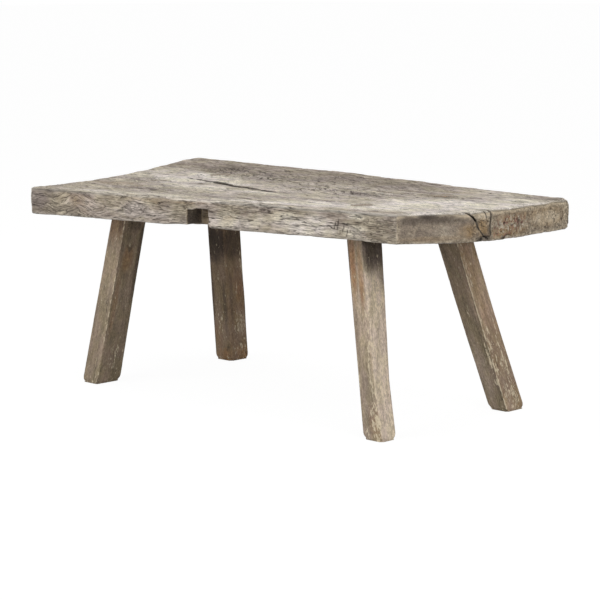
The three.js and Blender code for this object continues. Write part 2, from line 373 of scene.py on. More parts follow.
def store(piece, name, *columns):
    """Keeps three values for each point, under a name that a material can read."""
    values = np.stack(columns, axis=-1).astype(np.float32)
    kept = piece.data.attributes.new(name, "FLOAT_VECTOR", "POINT")
    kept.data.foreach_set("vector", values.ravel())


def finish_piece(piece, node, material):
    piece.data.materials.clear()
    piece.data.materials.append(material)
    piece.data.shade_smooth()
    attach(piece, "root")
    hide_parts(node)
    triangles = sum(len(face.vertices) - 2 for face in piece.data.polygons)
    print(piece.name, "has", triangles, "triangles")


# %% [markdown]
# ## The plank's blank
#
# Every mark on the plank sits on one of its faces, so the first step is to know for each
# point which face it lies on. The direction that it faces tells that: it is set against the
# directions of the five sides, seen from above. Each face gets a share from 0 to 1, which
# fades out over the rounded edges.

# %% Plank and its faces
plank_face = 2.2 * mm
plank = blank_of("slab_top", "plank_hewn", plank_face)
places, facing = points_of(plank)
x, y, z = places.T
flat_facing = facing[:, :2] / np.maximum(np.linalg.norm(facing[:, :2], axis=1), 0.2)[:, None]

side_directions = {
    "front": (0.049, -0.999),
    "clipped": (0.877, -0.481),
    "right": (0.999, 0.050),
    "back": (0.070, 0.998),
    "left": (-0.985, -0.176),
}
level_from, level_to = 0.35, 0.80
side_from, side_to = 0.80, 0.97
upright = 1 - ease(np.abs(facing[:, 2]), 0.45, 0.85)
on_top = ease(facing[:, 2], level_from, level_to)
on_underside = ease(-facing[:, 2], level_from, level_to)
towards = {name: flat_facing @ np.array(way) for name, way in side_directions.items()}
side = {name: upright * ease(near, side_from, side_to) for name, near in towards.items()}
for name, share in side.items():
    print("points on the", name, "side:", int((share > 0.5).sum()))

# %% [markdown]
# ## Splits and fissures
#
# Old hardwood opens along its grain. A fissure is a thin V-shaped groove, widest in the middle
# and fading at both ends. A texture could paint such grooves, but they would vanish in a
# raking light and from the mesh, so they are carved. Hundreds of short ones are scattered by
# a seeded random draw, which gives the same ones each time. The long split across the top
# follows a path of its own that was read off the picture.

# %% Grooves
def groove(u, v, centre, length, width, depth, slant, bend):
    """Depth of one fissure at each point (u, v), and which points it reaches."""
    du, dv = u - centre[0], v - centre[1]
    near = (np.abs(du) < length) & (np.abs(dv) < length * abs(slant) + 4 * width + bend)
    du, dv = du[near], dv[near]
    share = 2 * du / length
    off = np.abs(dv - slant * du - bend * np.sin(share * 2.6 + centre[0] * 90))
    taper = np.clip(1 - share * share, 0, 1)
    return near, depth * taper * np.clip(1 - off / (width * (0.35 + 0.65 * taper)), 0, 1)


def fissures(u, v, count, area, seed, lengths, width, depth, slant=0.0, spread=0.05):
    """The deepest of many random fissures in an area of (u, v)."""
    draw = np.random.default_rng(seed)
    (u_low, u_high), (v_low, v_high) = area
    total = np.zeros(len(u))
    for _ in range(count):
        centre = (draw.uniform(u_low, u_high), draw.uniform(v_low, v_high))
        length = lengths[0] + (lengths[1] - lengths[0]) * draw.random() ** 2
        size = draw.uniform(0.5, 1.0)
        tilt = slant + spread * draw.normal()
        near, cut = groove(u, v, centre, length, width * size, depth * size, tilt, 2 * mm)
        total[near] = np.maximum(total[near], cut)
    return total


def along_path(u, v, path):
    """Distance to a path of points (u, v, width), and the width there."""
    nearest = np.full(len(u), np.inf)
    wide = np.zeros(len(u))
    for (u0, v0, w0), (u1, v1, w1) in zip(path, path[1:]):
        run, rise = u1 - u0, v1 - v0
        share = np.clip(((u - u0) * run + (v - v0) * rise) / (run**2 + rise**2), 0, 1)
        far = np.hypot(u - u0 - share * run, v - v0 - share * rise)
        better = far < nearest
        nearest = np.where(better, far, nearest)
        wide = np.where(better, w0 + (w1 - w0) * share, wide)
    return nearest, wide


steps = np.linspace(-0.05, 0.05, 1001)
trial = groove(steps, 0 * steps, (0.0, 0.0), 60 * mm, 2 * mm, 3 * mm, 0.0, 0.0)[1]
print("a fissure 60 mm long is carved on", int((trial > 0).sum()), "points, 0.1 mm apart")

# %% [markdown]
# The long split starts left of the middle, opens to more than a centimetre, and runs out near
# the centre of the plank. The solid has it already, as a plain V. Here its path is needed to
# fray its lips, to draw it out finer at both ends, and later to darken it with dirt and
# painted shade. The lip on the front side is worn down a little, so that the far wall shows
# as a dark line. Each point gives the place and half the width.

# %% Long split
split_path = [
    (-0.3474, 0.0478, 1.0 * mm),
    (-0.2912, 0.0314, 2.4 * mm),
    (-0.2508, 0.0189, 3.0 * mm),
    (-0.2008, 0.0115, 3.7 * mm),
    (-0.1611, -0.0038, 6.0 * mm),
    (-0.1310, -0.0191, 5.1 * mm),
    (-0.0810, -0.0282, 3.8 * mm),
    (-0.0208, -0.0409, 2.8 * mm),
    (0.0491, -0.0491, 0.8 * mm),
]
waver = 1.2 * mm * lumps(places, (0.018, 0.014, 0.014), 3)
from_split, split_half = along_path(x, y + waver, split_path)
split_depth, split_flank = 2.2 * mm, 1.8 * mm
split = on_top * split_depth * np.clip(1 - from_split / (split_half + split_flank), 0, 1)
beside_split = from_split - split_half
fray_depth, fray_reach = 1.8 * mm, 4 * mm
frayed = ease(layered(places, (0.020, 0.009, 0.009), 7), 0.0, 0.6)
split += on_top * fray_depth * frayed * np.exp(-((beside_split / fray_reach) ** 2))
split_floor = 0.385
split_dirt_and_shade = (z > split_floor) * (1 - ease(beside_split, 0.0, fray_reach))

lip_drop, lip_reach = 1.3 * mm, 18 * mm
split_line = 0.0115 - 0.25 * (x + 0.2)
in_front_of_split = 1 - ease(y - split_line, -0.004, 0.004)
lip = on_top * lip_drop * in_front_of_split * np.exp(-((from_split / lip_reach) ** 2))
lip *= ease(x, -0.38, -0.30) * (1 - ease(x, -0.05, 0.06))
print("points in the long split:", int((split_dirt_and_shade > 0.5).sum()))

# %% [markdown]
# The scattered fissures are denser where the wood suffered most: in the middle of the top,
# along its back half, and round the tenons. Those of the top lean a little, as the grain
# there doesn't run quite along the plank.

# %% Scattered fissures
top_areas = [
    # how many, where, lengths, half width, depth, slant, spread of the slants
    (140, ((-0.54, 0.53), (-0.26, 0.27)), (0.015, 0.060), 2.2 * mm, 2.4 * mm, -0.08, 0.14),
    (80, ((-0.05, 0.30), (-0.07, 0.08)), (0.015, 0.045), 2.3 * mm, 3.6 * mm, -0.50, 0.25),
    (130, ((-0.38, 0.05), (0.06, 0.22)), (0.015, 0.045), 2.3 * mm, 3.8 * mm, -0.55, 0.30),
    (80, ((0.00, 0.44), (0.06, 0.20)), (0.015, 0.055), 2.2 * mm, 3.2 * mm, -0.35, 0.25),
    (34, ((-0.42, -0.28), (0.11, 0.20)), (0.012, 0.040), 2.6 * mm, 3.8 * mm, -0.60, 0.40),
    (24, ((0.27, 0.38), (0.04, 0.10)), (0.012, 0.040), 2.6 * mm, 3.4 * mm, -0.40, 0.30),
    (60, ((-0.46, -0.05), (-0.20, -0.06)), (0.012, 0.045), 2.1 * mm, 2.8 * mm, -0.35, 0.25),
    (24, ((0.28, 0.52), (-0.12, 0.04)), (0.020, 0.060), 2.0 * mm, 2.4 * mm, -0.45, 0.15),
]
first_seed = 60
cut_top = np.zeros(len(x))
for number, (count, area, *shape) in enumerate(top_areas):
    new = fissures(x, y, count, area, first_seed + number, *shape)
    cut_top = np.maximum(cut_top, new)
side_area = ((-0.56, 0.56), (0.355, 0.425))
cut_front = fissures(x, z, 190, side_area, 70, (0.012, 0.070), 1.3 * mm, 1.8 * mm, 0.0, 0.12)
cut_front *= 0.40 + 0.40 * ease(x, -0.28, -0.15)
cut_back = fissures(x, z, 190, side_area, 71, (0.012, 0.090), 1.6 * mm, 1.8 * mm)
cut_below = fissures(x, y, 130, top_areas[0][1], 72, (0.02, 0.12), 2.4 * mm, 2.4 * mm)
fissure = np.maximum(on_top * cut_top, side["front"] * cut_front)
fissure = np.maximum(fissure, side["back"] * cut_back)
fissure = np.maximum(fissure, on_underside * cut_below)
print("points in a fissure:", int((fissure > 0.3 * mm).sum()))

# %% [markdown]
# ## Worn edges
#
# Edges lose most: they are chipped where something struck them and rubbed smooth and pale
# everywhere else. An arris, the edge between two faces, is found from the direction of its
# points, which is halfway between level and upright. The solid's edges and the remeshing
# are rounder than the real ones, so every arris is built out again before the chips go in:
# most of all over the front, and hardly at all over the right end, which is worn round.

# %% Edges
steepness = facing[:, 2] ** 2
arris = 4 * steepness * (1 - steepness)
best_side = np.max(list(towards.values()), axis=0)
corner = upright * ease(1 - best_side, 0.010, 0.05)
edge = np.clip(np.maximum(arris, corner), 0, 1)

crispness = 0.75 + 0.35 * lumps(places, (0.08, 0.03, 0.03), 4)
chips = edge * 2.6 * mm * ease(layered(places, (0.030, 0.018, 0.018), 5), 0.20, 0.75)
chips += edge * 0.6 * mm * lumps(places, (0.012, 0.008, 0.008), 6)
chips *= 0.35 + 0.65 * ease(x, -0.46, -0.40)
over_front = ease(towards["front"], side_from, side_to)
upper_front = arris * over_front * (facing[:, 2] > 0) * (0.45 + 0.55 * ease(x, -0.15, 0.05))
over_end = ease(np.maximum(towards["clipped"], towards["right"]), side_from, side_to)
upper_end = arris * (facing[:, 2] > 0) * over_end
chips -= arris * crispness * (1.5 + 1.0 * upper_front - 1.3 * upper_end) * mm
print("chips up to", round(chips.max() / mm, 1), "mm deep")

# %% [markdown]
# The clipped end was sawn and is nearly smooth, while the end beside it was broken out and
# is pitted. Its lower edge has lost a few larger bits near the checks. Each of those is a
# soft bowl round a place.

# %% Pitted ends
pits = side["right"] * (
    1.3 * mm * ease(lumps(places, (0.02, 0.0065, 0.0055), 8), 0.15, 0.7)
    + 0.9 * mm * lumps(places, (0.03, 0.016, 0.012), 9)
)
pits *= 0.35 + 0.65 * ease(0.07 - y, 0.0, 0.04)
lower_chips = [
    # across, up, radius, depth
    (-0.066, 0.3680, 0.013, 7.0 * mm),
    (-0.050, 0.3690, 0.009, 5.0 * mm),
    (0.002, 0.3660, 0.012, 6.0 * mm),
    (0.020, 0.3670, 0.008, 3.0 * mm),
]
right_end = side["clipped"] + side["right"]
chips_from_x = 0.52
for across, up, radius, deepest in lower_chips:
    far = np.hypot(y - across, (z - up) * 1.4) / radius
    bowl = 1 - ease(far, 0.2, 1.0)
    pits += np.maximum(right_end, edge) * (x > chips_from_x) * deepest * bowl
pits += side["left"] * 0.8 * mm * lumps(places, (0.02, 0.007, 0.006), 10)
pits += side["clipped"] * 0.45 * mm * layered(places, (0.03, 0.012, 0.010), 11)
print("pits up to", round(pits.max() / mm, 1), "mm deep")

# %% [markdown]
# Near the front right leg a blade left a handful of short cuts in the front face. They stand
# nearly upright and lean the same way, as one hand made them. They are grooves like the
# fissures, with height and length changing places.

# %% Blade marks
blade_marks = [
    # along, height, length, half width, lean
    (0.361, 0.392, 0.022, 1.5 * mm, 0.26),
    (0.368, 0.394, 0.026, 1.8 * mm, 0.18),
    (0.372, 0.377, 0.013, 1.3 * mm, 0.10),
    (0.381, 0.388, 0.022, 1.7 * mm, 0.30),
    (0.390, 0.381, 0.024, 1.6 * mm, 0.24),
    (0.398, 0.386, 0.012, 1.2 * mm, 0.15),
]
blade_depth = 1.9 * mm
blade = np.zeros(len(x))
for along, height, length, width, lean in blade_marks:
    near, cut = groove(z, x, (height, along), length, width, blade_depth, lean, 0.0)
    blade[near] = np.maximum(blade[near], cut)
blade *= side["front"]
print("points in the blade marks:", int((blade > 0.3 * mm).sum()))

# %% [markdown]
# Where the legs come through, nothing may be carved: the plank has to stay clear of them.
# The same holds for the walls of the mortises, and inside the notch, whose faces were sawn, a
# quarter of the carving is enough. Each leg's line runs from the middle of its foot to the
# middle of its tenon.

# %% Legs' lines
legs = {
    "front_left": {"foot": (-0.3726, -0.1787), "head": (-0.3156, -0.1277, 0.4084)},
    "back_left": {"foot": (-0.3631, 0.1908), "head": (-0.3031, 0.1028, 0.4185)},
    "front_right": {"foot": (0.4132, -0.1833), "head": (0.3212, -0.1283, 0.4167)},
    "back_right": {"foot": (0.4154, 0.1872), "head": (0.3214, 0.0982, 0.4179)},
}


def leg_centre(leg, heights):
    """The middle of a leg at each height, as two columns."""
    foot, head = np.array(leg["foot"]), np.array(leg["head"][:2])
    return foot + (head - foot) * (heights / leg["head"][2])[:, None]


from_leg = np.full(len(x), np.inf)
for leg in legs.values():
    away = np.linalg.norm(places[:, :2] - leg_centre(leg, z), axis=1)
    from_leg = np.minimum(from_leg, away)
mortise_reach = 30 * mm
in_mortise = (from_leg < mortise_reach) & (np.abs(facing[:, 2]) < 0.75)
near_leg_below = on_underside * (1 - ease(from_leg, 0.045, 0.065))
notch_middle, notch_half = 0.0166, 0.029
notch_front, notch_back, notch_top = -0.2565, -0.214, 0.397
notch_carving = 0.25
in_notch = (np.abs(x - notch_middle) < notch_half + 2 * mm) & (y < notch_back) & (y > notch_front)
in_notch &= z < notch_top
carvable = np.where(in_mortise, 0, 1) * (1 - near_leg_below)
carvable *= np.where(in_notch, notch_carving, 1)
print("points kept from carving:", int((carvable < 0.5).sum()))

# %% [markdown]
# ## Carving the plank
#
# The whole surface is a little uneven as well. The wood that grows in spring is softer than
# that of late summer and wears away faster, which leaves long low ripples. They are lumps that
# are long along the grain and short across it, in layers from coarse to fine. Then all the
# marks are added up and the points are moved inwards by that much, against the direction
# that they face. The broad swell of the hewing may also stand proud, but never outside the
# solid's box.

# %% Carve
bent = places.copy()
bent[:, 1] += 0.10 * x * on_top + 6 * mm * lumps(places, (0.20, 0.10, 0.10), 21)
calm = 0.25 + 0.75 * ease(from_leg, 0.026, 0.050)
swell = (0.8 - 0.4 * on_top) * mm * layered(places, (0.13, 0.055, 0.045), 20, layers=2)
on_face = side["front"] + side["back"]
ripples = [
    # where, height in mm, size of the lumps
    (on_top, 0.80, (0.110, 0.024, 0.05)),
    (on_top, 0.75, (0.050, 0.0120, 0.05)),
    (on_top, 0.45, (0.028, 0.0070, 0.05)),
    (on_face, 0.40, (0.07, 0.05, 0.0090)),
    (on_face, 0.34, (0.04, 0.05, 0.0048)),
    (on_underside, 0.45, (0.12, 0.018, 0.05)),
]
ripple = np.zeros(len(x))
for seed, (where, height, size) in enumerate(ripples, start=22):
    ripple += where * height * mm * lumps(bent, size, seed)
ripple *= 0.35 + 0.65 * ease(x, -0.54, -0.44)
rough_right = side["front"] * ease(x, 0.38, 0.43)
ripple += rough_right * 0.9 * mm * lumps(places, (0.035, 0.05, 0.0065), 28)
depth = (swell + ripple) * calm + chips + pits + blade + fissure + split + lip
carved = places - facing * (depth * carvable)[:, None]
print("carving from", round(depth.min() / mm, 1), "to", round(depth.max() / mm, 1), "mm deep")

# %% [markdown]
# The corner between the front and the clipped end is rounded on the solid, but on the real
# plank it is a crisp, slightly jagged line where a saw came through. The points near it
# move out, until they nearly reach the corner of the two faces.

# %% Crisp corner
crisp_corner = np.array((0.5029, -0.2354))
corner_reach = 22 * mm
most_push = 5 * mm
two_faces = [np.array(side_directions[name]) for name in ("front", "clipped")]
outwards = sum(two_faces) / np.linalg.norm(sum(two_faces))
gaps = [(carved[:, :2] - crisp_corner) @ direction for direction in two_faces]
room = -np.maximum(*gaps) - 0.8 * mm * (1 + lumps(places, (0.006, 0.006, 0.006), 29))
near_corner = np.linalg.norm(places[:, :2] - crisp_corner, axis=1) < corner_reach
push = np.clip(room / (outwards @ two_faces[0]), 0, most_push) * near_corner * upright**2
carved[:, :2] += push[:, None] * outwards
nearer_front = gaps[0] > gaps[1]
side["front"] = np.where(near_corner, upright * nearer_front, side["front"])
side["clipped"] = np.where(near_corner, upright * ~nearer_front, side["clipped"])
end_grain = side["clipped"] + side["right"] + side["left"]
right_end = side["clipped"] + side["right"]
beside_corner = np.abs(gaps[0] - gaps[1])
print("the corner moves out by up to", round(push.max() / mm, 1), "mm")

# %% [markdown]
# A few changes of form are left. Beside the notch and near the right end the lower edge is
# worn away upwards by a few millimetres. The notch's roof is broken out higher on its right
# half than on its left, with fairly square corners. All of that lifts points.

# %% Worn lower edge and the notch's roof
lift_beside_notch, lift_near_end = 2.6 * mm, 2.5 * mm
front_y, underside_z = -0.262, 0.3625
lift = lift_beside_notch * ease(x, -0.085, -0.030) * (1 - ease(x, 0.0, 0.016))
lift *= 1 - ease(y - front_y, 0.012, 0.045)
inside_edge = -np.maximum(*gaps)
lift_right = ease(x, 0.20, 0.32) * (1 - ease(inside_edge, 0.006, 0.050))
lift = np.maximum(lift, lift_near_end * lift_right * (1 - 0.6 * ease(y, -0.10, 0.02)))
lift *= 1 - ease(z - underside_z, 0.0, 0.026)

off_middle = (x - notch_middle) / notch_half
roof = 0.3918 + 5 * mm * (1 - off_middle**2)
broken_roof = 0.3945 + 4 * mm * ease(x, 0.002, 0.016) + 1.5 * mm * off_middle**4
roof_lift = np.maximum(broken_roof - roof, 0) * (1 - ease(np.abs(off_middle), 1.0, 1.07))
roof_lift *= ease(z, 0.378, roof) * (1 - ease(z, roof + 1 * mm, roof + 16 * mm))
roof_back = -0.205
carved[:, 2] += lift + roof_lift * (y < roof_back)
print("lower edge lifted by up to", round(lift.max() / mm, 1), "mm")

# %% [markdown]
# The back right corner is rounded like a knuckle, more above than below. A point that lies
# outside a ball in the corner moves onto it.

# %% Rounded corner
near_knuckle = (x > 0.50) & (y > 0.10)
for upwards, radius in ((1, 17 * mm), (-1, 15 * mm)):
    three_ways = [(*side_directions["right"], 0), (*side_directions["back"], 0), (0, 0, upwards)]
    directions = np.array(three_ways, float)
    reach = places @ directions.T
    offset = np.maximum(reach - reach[near_knuckle].max(axis=0) + radius, 0)
    far = np.linalg.norm(offset, axis=1)
    outside = np.clip(far - radius, 0, 7 * mm)
    towards_corner = offset @ directions / np.maximum(far, 1e-6)[:, None]
    in_corner = near_knuckle & (offset.min(axis=1) > 0)
    carved -= towards_corner * (outside * in_corner)[:, None]
    print("points on the knuckle:", int((outside * in_corner > 0).sum()))
box_margin = 0.15 * mm
carved = np.clip(carved, np.array(solid_low) + box_margin, np.array(solid_high) - box_margin)
move_points(plank, carved)

# %% [markdown]
# ## What the plank's material needs to know
#
# A material can't know where a stain lies, but the mesh can. Five sets of three values for
# each point are kept with it as attributes. The first gives the place in the wood's own
# directions: along the grain, across it and through the plank. It bends where the figure
# bends, and every fibre of the material follows it. At the left of the front face the growth
# lines turn back in faint arcs, so a curled course is mixed in there. Round a knot the lines
# spread apart.

# %% Grain of the plank
grain_lean = 0.10 * on_top
along = x + 2 * mm * lumps(places, (0.05, 0.05, 0.05), 30)
across = y + grain_lean * x + 9 * mm * lumps(places, (0.22, 0.10, 0.08), 31)
through = z + 5 * mm * lumps(places, (0.16, 0.09, 0.05), 32)

curl_share = 0.24
curl_x, curl_z = -0.325, 0.374
curled = ease(x, -0.42, -0.37) * (1 - ease(x, -0.28, -0.23)) * side["front"]
curled *= 1 - ease(z, 0.404, 0.418)
curl = 0.385 + 1.1 * (np.abs(x - curl_x) - 0.045) - 14 * (z - curl_z) ** 2
curl += 2.5 * mm * lumps(places, (0.02, 0.05, 0.012), 33)
through += curl_share * curled * (curl - through)

knot_spread = 0.75
knots = [
    # face, along, across or up, radius
    ("front", -0.120, 0.384, 0.014),
    ("top", 0.330, 0.070, 0.020),
    ("top", -0.330, 0.135, 0.026),
    ("top", -0.060, -0.120, 0.018),
]
for face, u0, v0, radius in knots:
    if face == "top":
        far = np.hypot(x - u0, (y - v0) * 1.6) / radius
        across -= on_top * (y - v0) * np.exp(-far * far) * knot_spread
    else:
        far = np.hypot(x - u0, (z - v0) * 1.6) / radius
        through -= side["front"] * (z - v0) * np.exp(-far * far) * knot_spread
store(plank, "grain", along, across, through)
print("points with curled grain:", int((curled > 0.5).sum()))

# %% [markdown]
# The second set says where the wood is bleached, where it is dark and where it is brown.
# These zones were placed from the picture. Each is a soft oval on one face, measured
# with ragged coordinates, so that its outline isn't a neat ellipse.

# %% Tones of the plank
def oval(u, v, centre, radii, turn=0.0):
    """A soft oval, 1 in its middle and 0 outside."""
    du, dv = u - centre[0], v - centre[1]
    cos, sin = math.cos(turn), math.sin(turn)
    far = np.hypot((du * cos + dv * sin) / radii[0], (dv * cos - du * sin) / radii[1])
    return 1 - ease(far, 0.35, 1.15)


raggedness = 12 * mm
ragged = places + raggedness * np.stack(
    [lumps(places, (0.05, 0.02, 0.02), seed) for seed in (40, 41, 42)], axis=-1
)
rx, ry, rz = ragged.T
tone_marks = {
    ("pale", "top"): [
        # along, across or up, radii, turn, strength
        (0.00, -0.060, 0.80, 0.260, 0.0, 0.33),
        (-0.33, 0.020, 0.18, 0.050, -0.10, 0.95),
        (-0.19, 0.025, 0.13, 0.024, -0.20, 1.00),
        (-0.30, 0.075, 0.13, 0.042, -0.20, 1.00),
        (-0.20, -0.065, 0.19, 0.045, -0.15, 0.85),
        (0.00, -0.080, 0.14, 0.028, -0.10, 0.80),
        (0.43, -0.040, 0.19, 0.150, 0.50, 1.00),
        (0.33, -0.155, 0.25, 0.070, 0.12, 1.00),
        (0.15, -0.210, 0.20, 0.032, 0.06, 1.00),
        (-0.20, -0.240, 0.26, 0.032, 0.05, 0.75),
        (-0.45, 0.060, 0.12, 0.100, 0.0, 0.60),
        (0.50, 0.100, 0.08, 0.060, 0.0, 0.80),
        (0.38, 0.150, 0.14, 0.080, 0.0, 0.50),
        (0.545, 0.000, 0.05, 0.180, 0.0, 0.90),
        (0.520, -0.165, 0.05, 0.090, 0.0, 0.90),
    ],
    ("dark", "top"): [
        (-0.35, 0.170, 0.080, 0.060, 0.0, 1.00),
        (-0.08, 0.160, 0.46, 0.085, 0.0, 0.45),
        (-0.10, 0.075, 0.16, 0.034, -0.30, 0.40),
        (0.335, 0.080, 0.05, 0.020, 0.0, 0.90),
        (0.19, 0.015, 0.08, 0.018, -0.30, 0.55),
        (0.24, 0.105, 0.07, 0.020, 0.0, 0.35),
        (-0.25, -0.155, 0.09, 0.022, 0.0, 0.70),
        (0.02, -0.195, 0.11, 0.026, 0.0, 0.45),
        (0.24, -0.120, 0.08, 0.020, 0.0, 0.45),
    ],
    ("warm", "top"): [
        (-0.40, -0.100, 0.10, 0.045, 0.0, 0.50),
        (-0.19, 0.035, 0.10, 0.018, -0.20, 0.15),
        (0.33, 0.155, 0.06, 0.030, 0.0, 0.30),
    ],
    ("dark", "front"): [
        (-0.450, 0.385, 0.070, 0.045, 0.0, 1.00),
        (-0.385, 0.403, 0.080, 0.011, 0.0, 0.90),
        (-0.310, 0.406, 0.060, 0.007, 0.0, 0.60),
        (-0.235, 0.401, 0.050, 0.009, 0.0, 0.30),
        (-0.370, 0.366, 0.080, 0.007, 0.0, 0.75),
        (-0.075, 0.400, 0.024, 0.007, 0.0, 0.60),
        (0.110, 0.4100, 0.080, 0.008, 0.0, 0.30),
        (0.350, 0.413, 0.050, 0.006, 0.0, 0.20),
        (0.430, 0.410, 0.035, 0.003, 0.0, 0.60),
        (0.470, 0.388, 0.035, 0.030, 0.0, 0.35),
    ],
    ("warm", "front"): [
        (-0.310, 0.388, 0.070, 0.020, 0.0, 0.45),
        (-0.150, 0.404, 0.090, 0.007, 0.0, 0.40),
        (-0.060, 0.4095, 0.080, 0.005, 0.0, 0.90),
        (0.016, 0.4130, 0.038, 0.005, 0.0, 0.75),
        (0.100, 0.386, 0.022, 0.005, 0.0, 0.60),
    ],
    ("pale", "front"): [
        (-0.345, 0.385, 0.018, 0.013, 0.0, 0.45),
        (-0.280, 0.384, 0.030, 0.014, 0.0, 0.45),
        (-0.130, 0.380, 0.120, 0.014, 0.0, 0.28),
        (0.026, 0.4130, 0.024, 0.006, 0.0, 0.70),
        (0.120, 0.382, 0.110, 0.018, 0.0, 0.45),
        (0.290, 0.388, 0.090, 0.022, 0.0, 0.80),
        (0.400, 0.385, 0.040, 0.018, 0.0, 0.50),
        (0.410, 0.4170, 0.020, 0.005, 0.0, 0.80),
    ],
}
tones = {name: np.zeros(len(x)) for name in ("pale", "dark", "warm")}
for (tone, face), marks in tone_marks.items():
    for u0, v0, ru, rv, turn, strength in marks:
        here = oval(rx, ry if face == "top" else rz, (u0, v0), (ru, rv), turn)
        here *= strength * (on_top if face == "top" else side[face])
        tones[tone] = np.maximum(tones[tone], here)
    print(len(marks), tone, "marks on the", face)

# %% [markdown]
# The two faces of the right end have smaller and sharper marks than the top, so these follow
# places of their own that are only a little ragged. Painted shade makes the inside of the
# notch and the mortises nearly black, the back of the notch a darkened warm brown, and the
# underside a little darker, as painted shade and as wood that the weather never bleached.

# %% Tones of the right end
end_y = y + 3 * mm * lumps(places, (0.020, 0.012, 0.008), 43)
end_z = z + 2 * mm * lumps(places, (0.020, 0.016, 0.008), 44)
end_marks = {
    "dark": [
        # across, up, radii, strength
        (-0.200, 0.3950, 0.060, 0.0350, 0.82),
        (-0.130, 0.3950, 0.050, 0.0300, 0.70),
        # This band just under the clipped end's upper edge is painted shade.
        (-0.190, 0.4100, 0.070, 0.0090, 0.90),
        (-0.190, 0.3720, 0.080, 0.0040, 0.90),
        (-0.100, 0.3760, 0.034, 0.0080, 0.85),
        (-0.075, 0.3800, 0.020, 0.0160, 0.70),
        (0.015, 0.4040, 0.060, 0.0090, 0.60),
        (-0.036, 0.4070, 0.020, 0.0050, 0.40),
        (0.120, 0.4110, 0.050, 0.0050, 0.45),
        (0.110, 0.3710, 0.080, 0.0045, 0.50),
        (0.168, 0.3950, 0.008, 0.0240, 0.35),
    ],
    "pale": [
        (-0.158, 0.3900, 0.026, 0.0140, 0.30),
        (-0.074, 0.4120, 0.018, 0.0110, 0.45),
        (-0.015, 0.3780, 0.030, 0.0080, 0.35),
        (0.118, 0.3920, 0.050, 0.0130, 1.00),
    ],
    "warm": [
        (-0.110, 0.3860, 0.030, 0.0180, 0.60),
        (-0.170, 0.3750, 0.080, 0.0060, 0.30),
        (-0.075, 0.3900, 0.020, 0.0240, 0.95),
        (0.000, 0.3760, 0.070, 0.0130, 0.95),
        (0.020, 0.4020, 0.070, 0.0140, 0.60),
        (0.120, 0.3950, 0.075, 0.0260, 0.66),
    ],
}
for tone, marks in end_marks.items():
    for v0, w0, rv, rw, strength in marks:
        here = strength * right_end * oval(end_y, end_z, (v0, w0), (rv, rw))
        tones[tone] = np.maximum(tones[tone], here)
    print(len(marks), tone, "marks on the right end")

# Painted shade: the notch and the mortises nearly black, the back of the notch darker, and the
# underside a little darker, partly also unbleached wood.
underside_dark, notch_dark, notch_warm = 0.35, 0.64, 0.70
tones["dark"] = np.maximum(tones["dark"], underside_dark * on_underside)
back_of_notch = in_notch & (facing[:, 1] < -0.6)
tones["dark"] = np.maximum(tones["dark"], np.where(in_notch | in_mortise, 1.0, 0))
tones["dark"] = np.where(back_of_notch, notch_dark, tones["dark"])
tones["warm"] = np.where(back_of_notch, notch_warm, tones["warm"])
store(plank, "tone", tones["pale"], tones["dark"], tones["warm"])

# %% [markdown]
# The third set says how rubbed an edge is, how darkened a groove or hollow is by dirt and
# painted shade, and how much of an end it is, because end grain looks unlike the grain on
# the faces. Rubbed edges come first. The blunt corner between the two end faces isn't
# rubbed, and the crisp one at the front shows as a thin pale line that wavers.

# %% Rubbed edges
blunt_corner = np.array((0.5634, -0.1250))
rubbed = edge * (0.55 + 0.45 * lumps(places, (0.05, 0.02, 0.02), 50))
rubbed *= ease(np.linalg.norm(places[:, :2] - blunt_corner, axis=1), 0.018, 0.030)
sharp_line = 0.62 * upright * (1 - ease(beside_corner, 0.2 * mm, 1.4 * mm))
sharp_line *= 1 + 0.7 * lumps(places, (0.004, 0.004, 0.005), 52)
rubbed = np.where(near_corner, sharp_line, rubbed)
line = ease(np.maximum(upper_front, 0.6 * upper_end), 0.30, 0.80)
line *= 0.85 + 0.25 * lumps(places, (0.03, 0.02, 0.02), 51)
rubbed = np.maximum(rubbed, line)
print("rubbed points:", int((rubbed > 0.4).sum()))

# %% [markdown]
# A band under the right end's upper edge is worn to a warm tan, down to about a centimetre
# below it. The top isn't level there, so the height of the edge is measured first, in strips
# four millimetres wide. Dark marks lie on both end faces, and nothing is rubbed pale where
# they are dark. Those just under the clipped end's upper edge and in the chips of the lower
# edge are painted shade; the others are stains, where water soaked in.

# %% Worn band and stains
stains_and_shade = [
    # across, up, radii, strength
    # The first four are painted shade just under the clipped end's upper edge.
    (-0.181, 0.4150, 0.024, 0.0065, 0.72),
    (-0.165, 0.4095, 0.042, 0.0095, 0.48),
    (-0.212, 0.4095, 0.034, 0.0095, 0.42),
    (-0.145, 0.4070, 0.024, 0.0045, 0.45),
    # These two are painted shade in the chips of the lower edge.
    (-0.070, 0.3680, 0.028, 0.0068, 0.95),
    (-0.008, 0.3660, 0.016, 0.0045, 0.90),
    (0.011, 0.3870, 0.004, 0.0030, 0.75),
    (0.031, 0.3930, 0.004, 0.0030, 0.75),
    (-0.004, 0.3790, 0.003, 0.0030, 0.60),
]
stain_and_shade = np.maximum.reduce([
    strength * oval(end_y, end_z, (v0, w0), (rv, rw)) for v0, w0, rv, rw, strength in stains_and_shade
])
stain_and_shade *= np.maximum(right_end, edge * (x > 0.50))

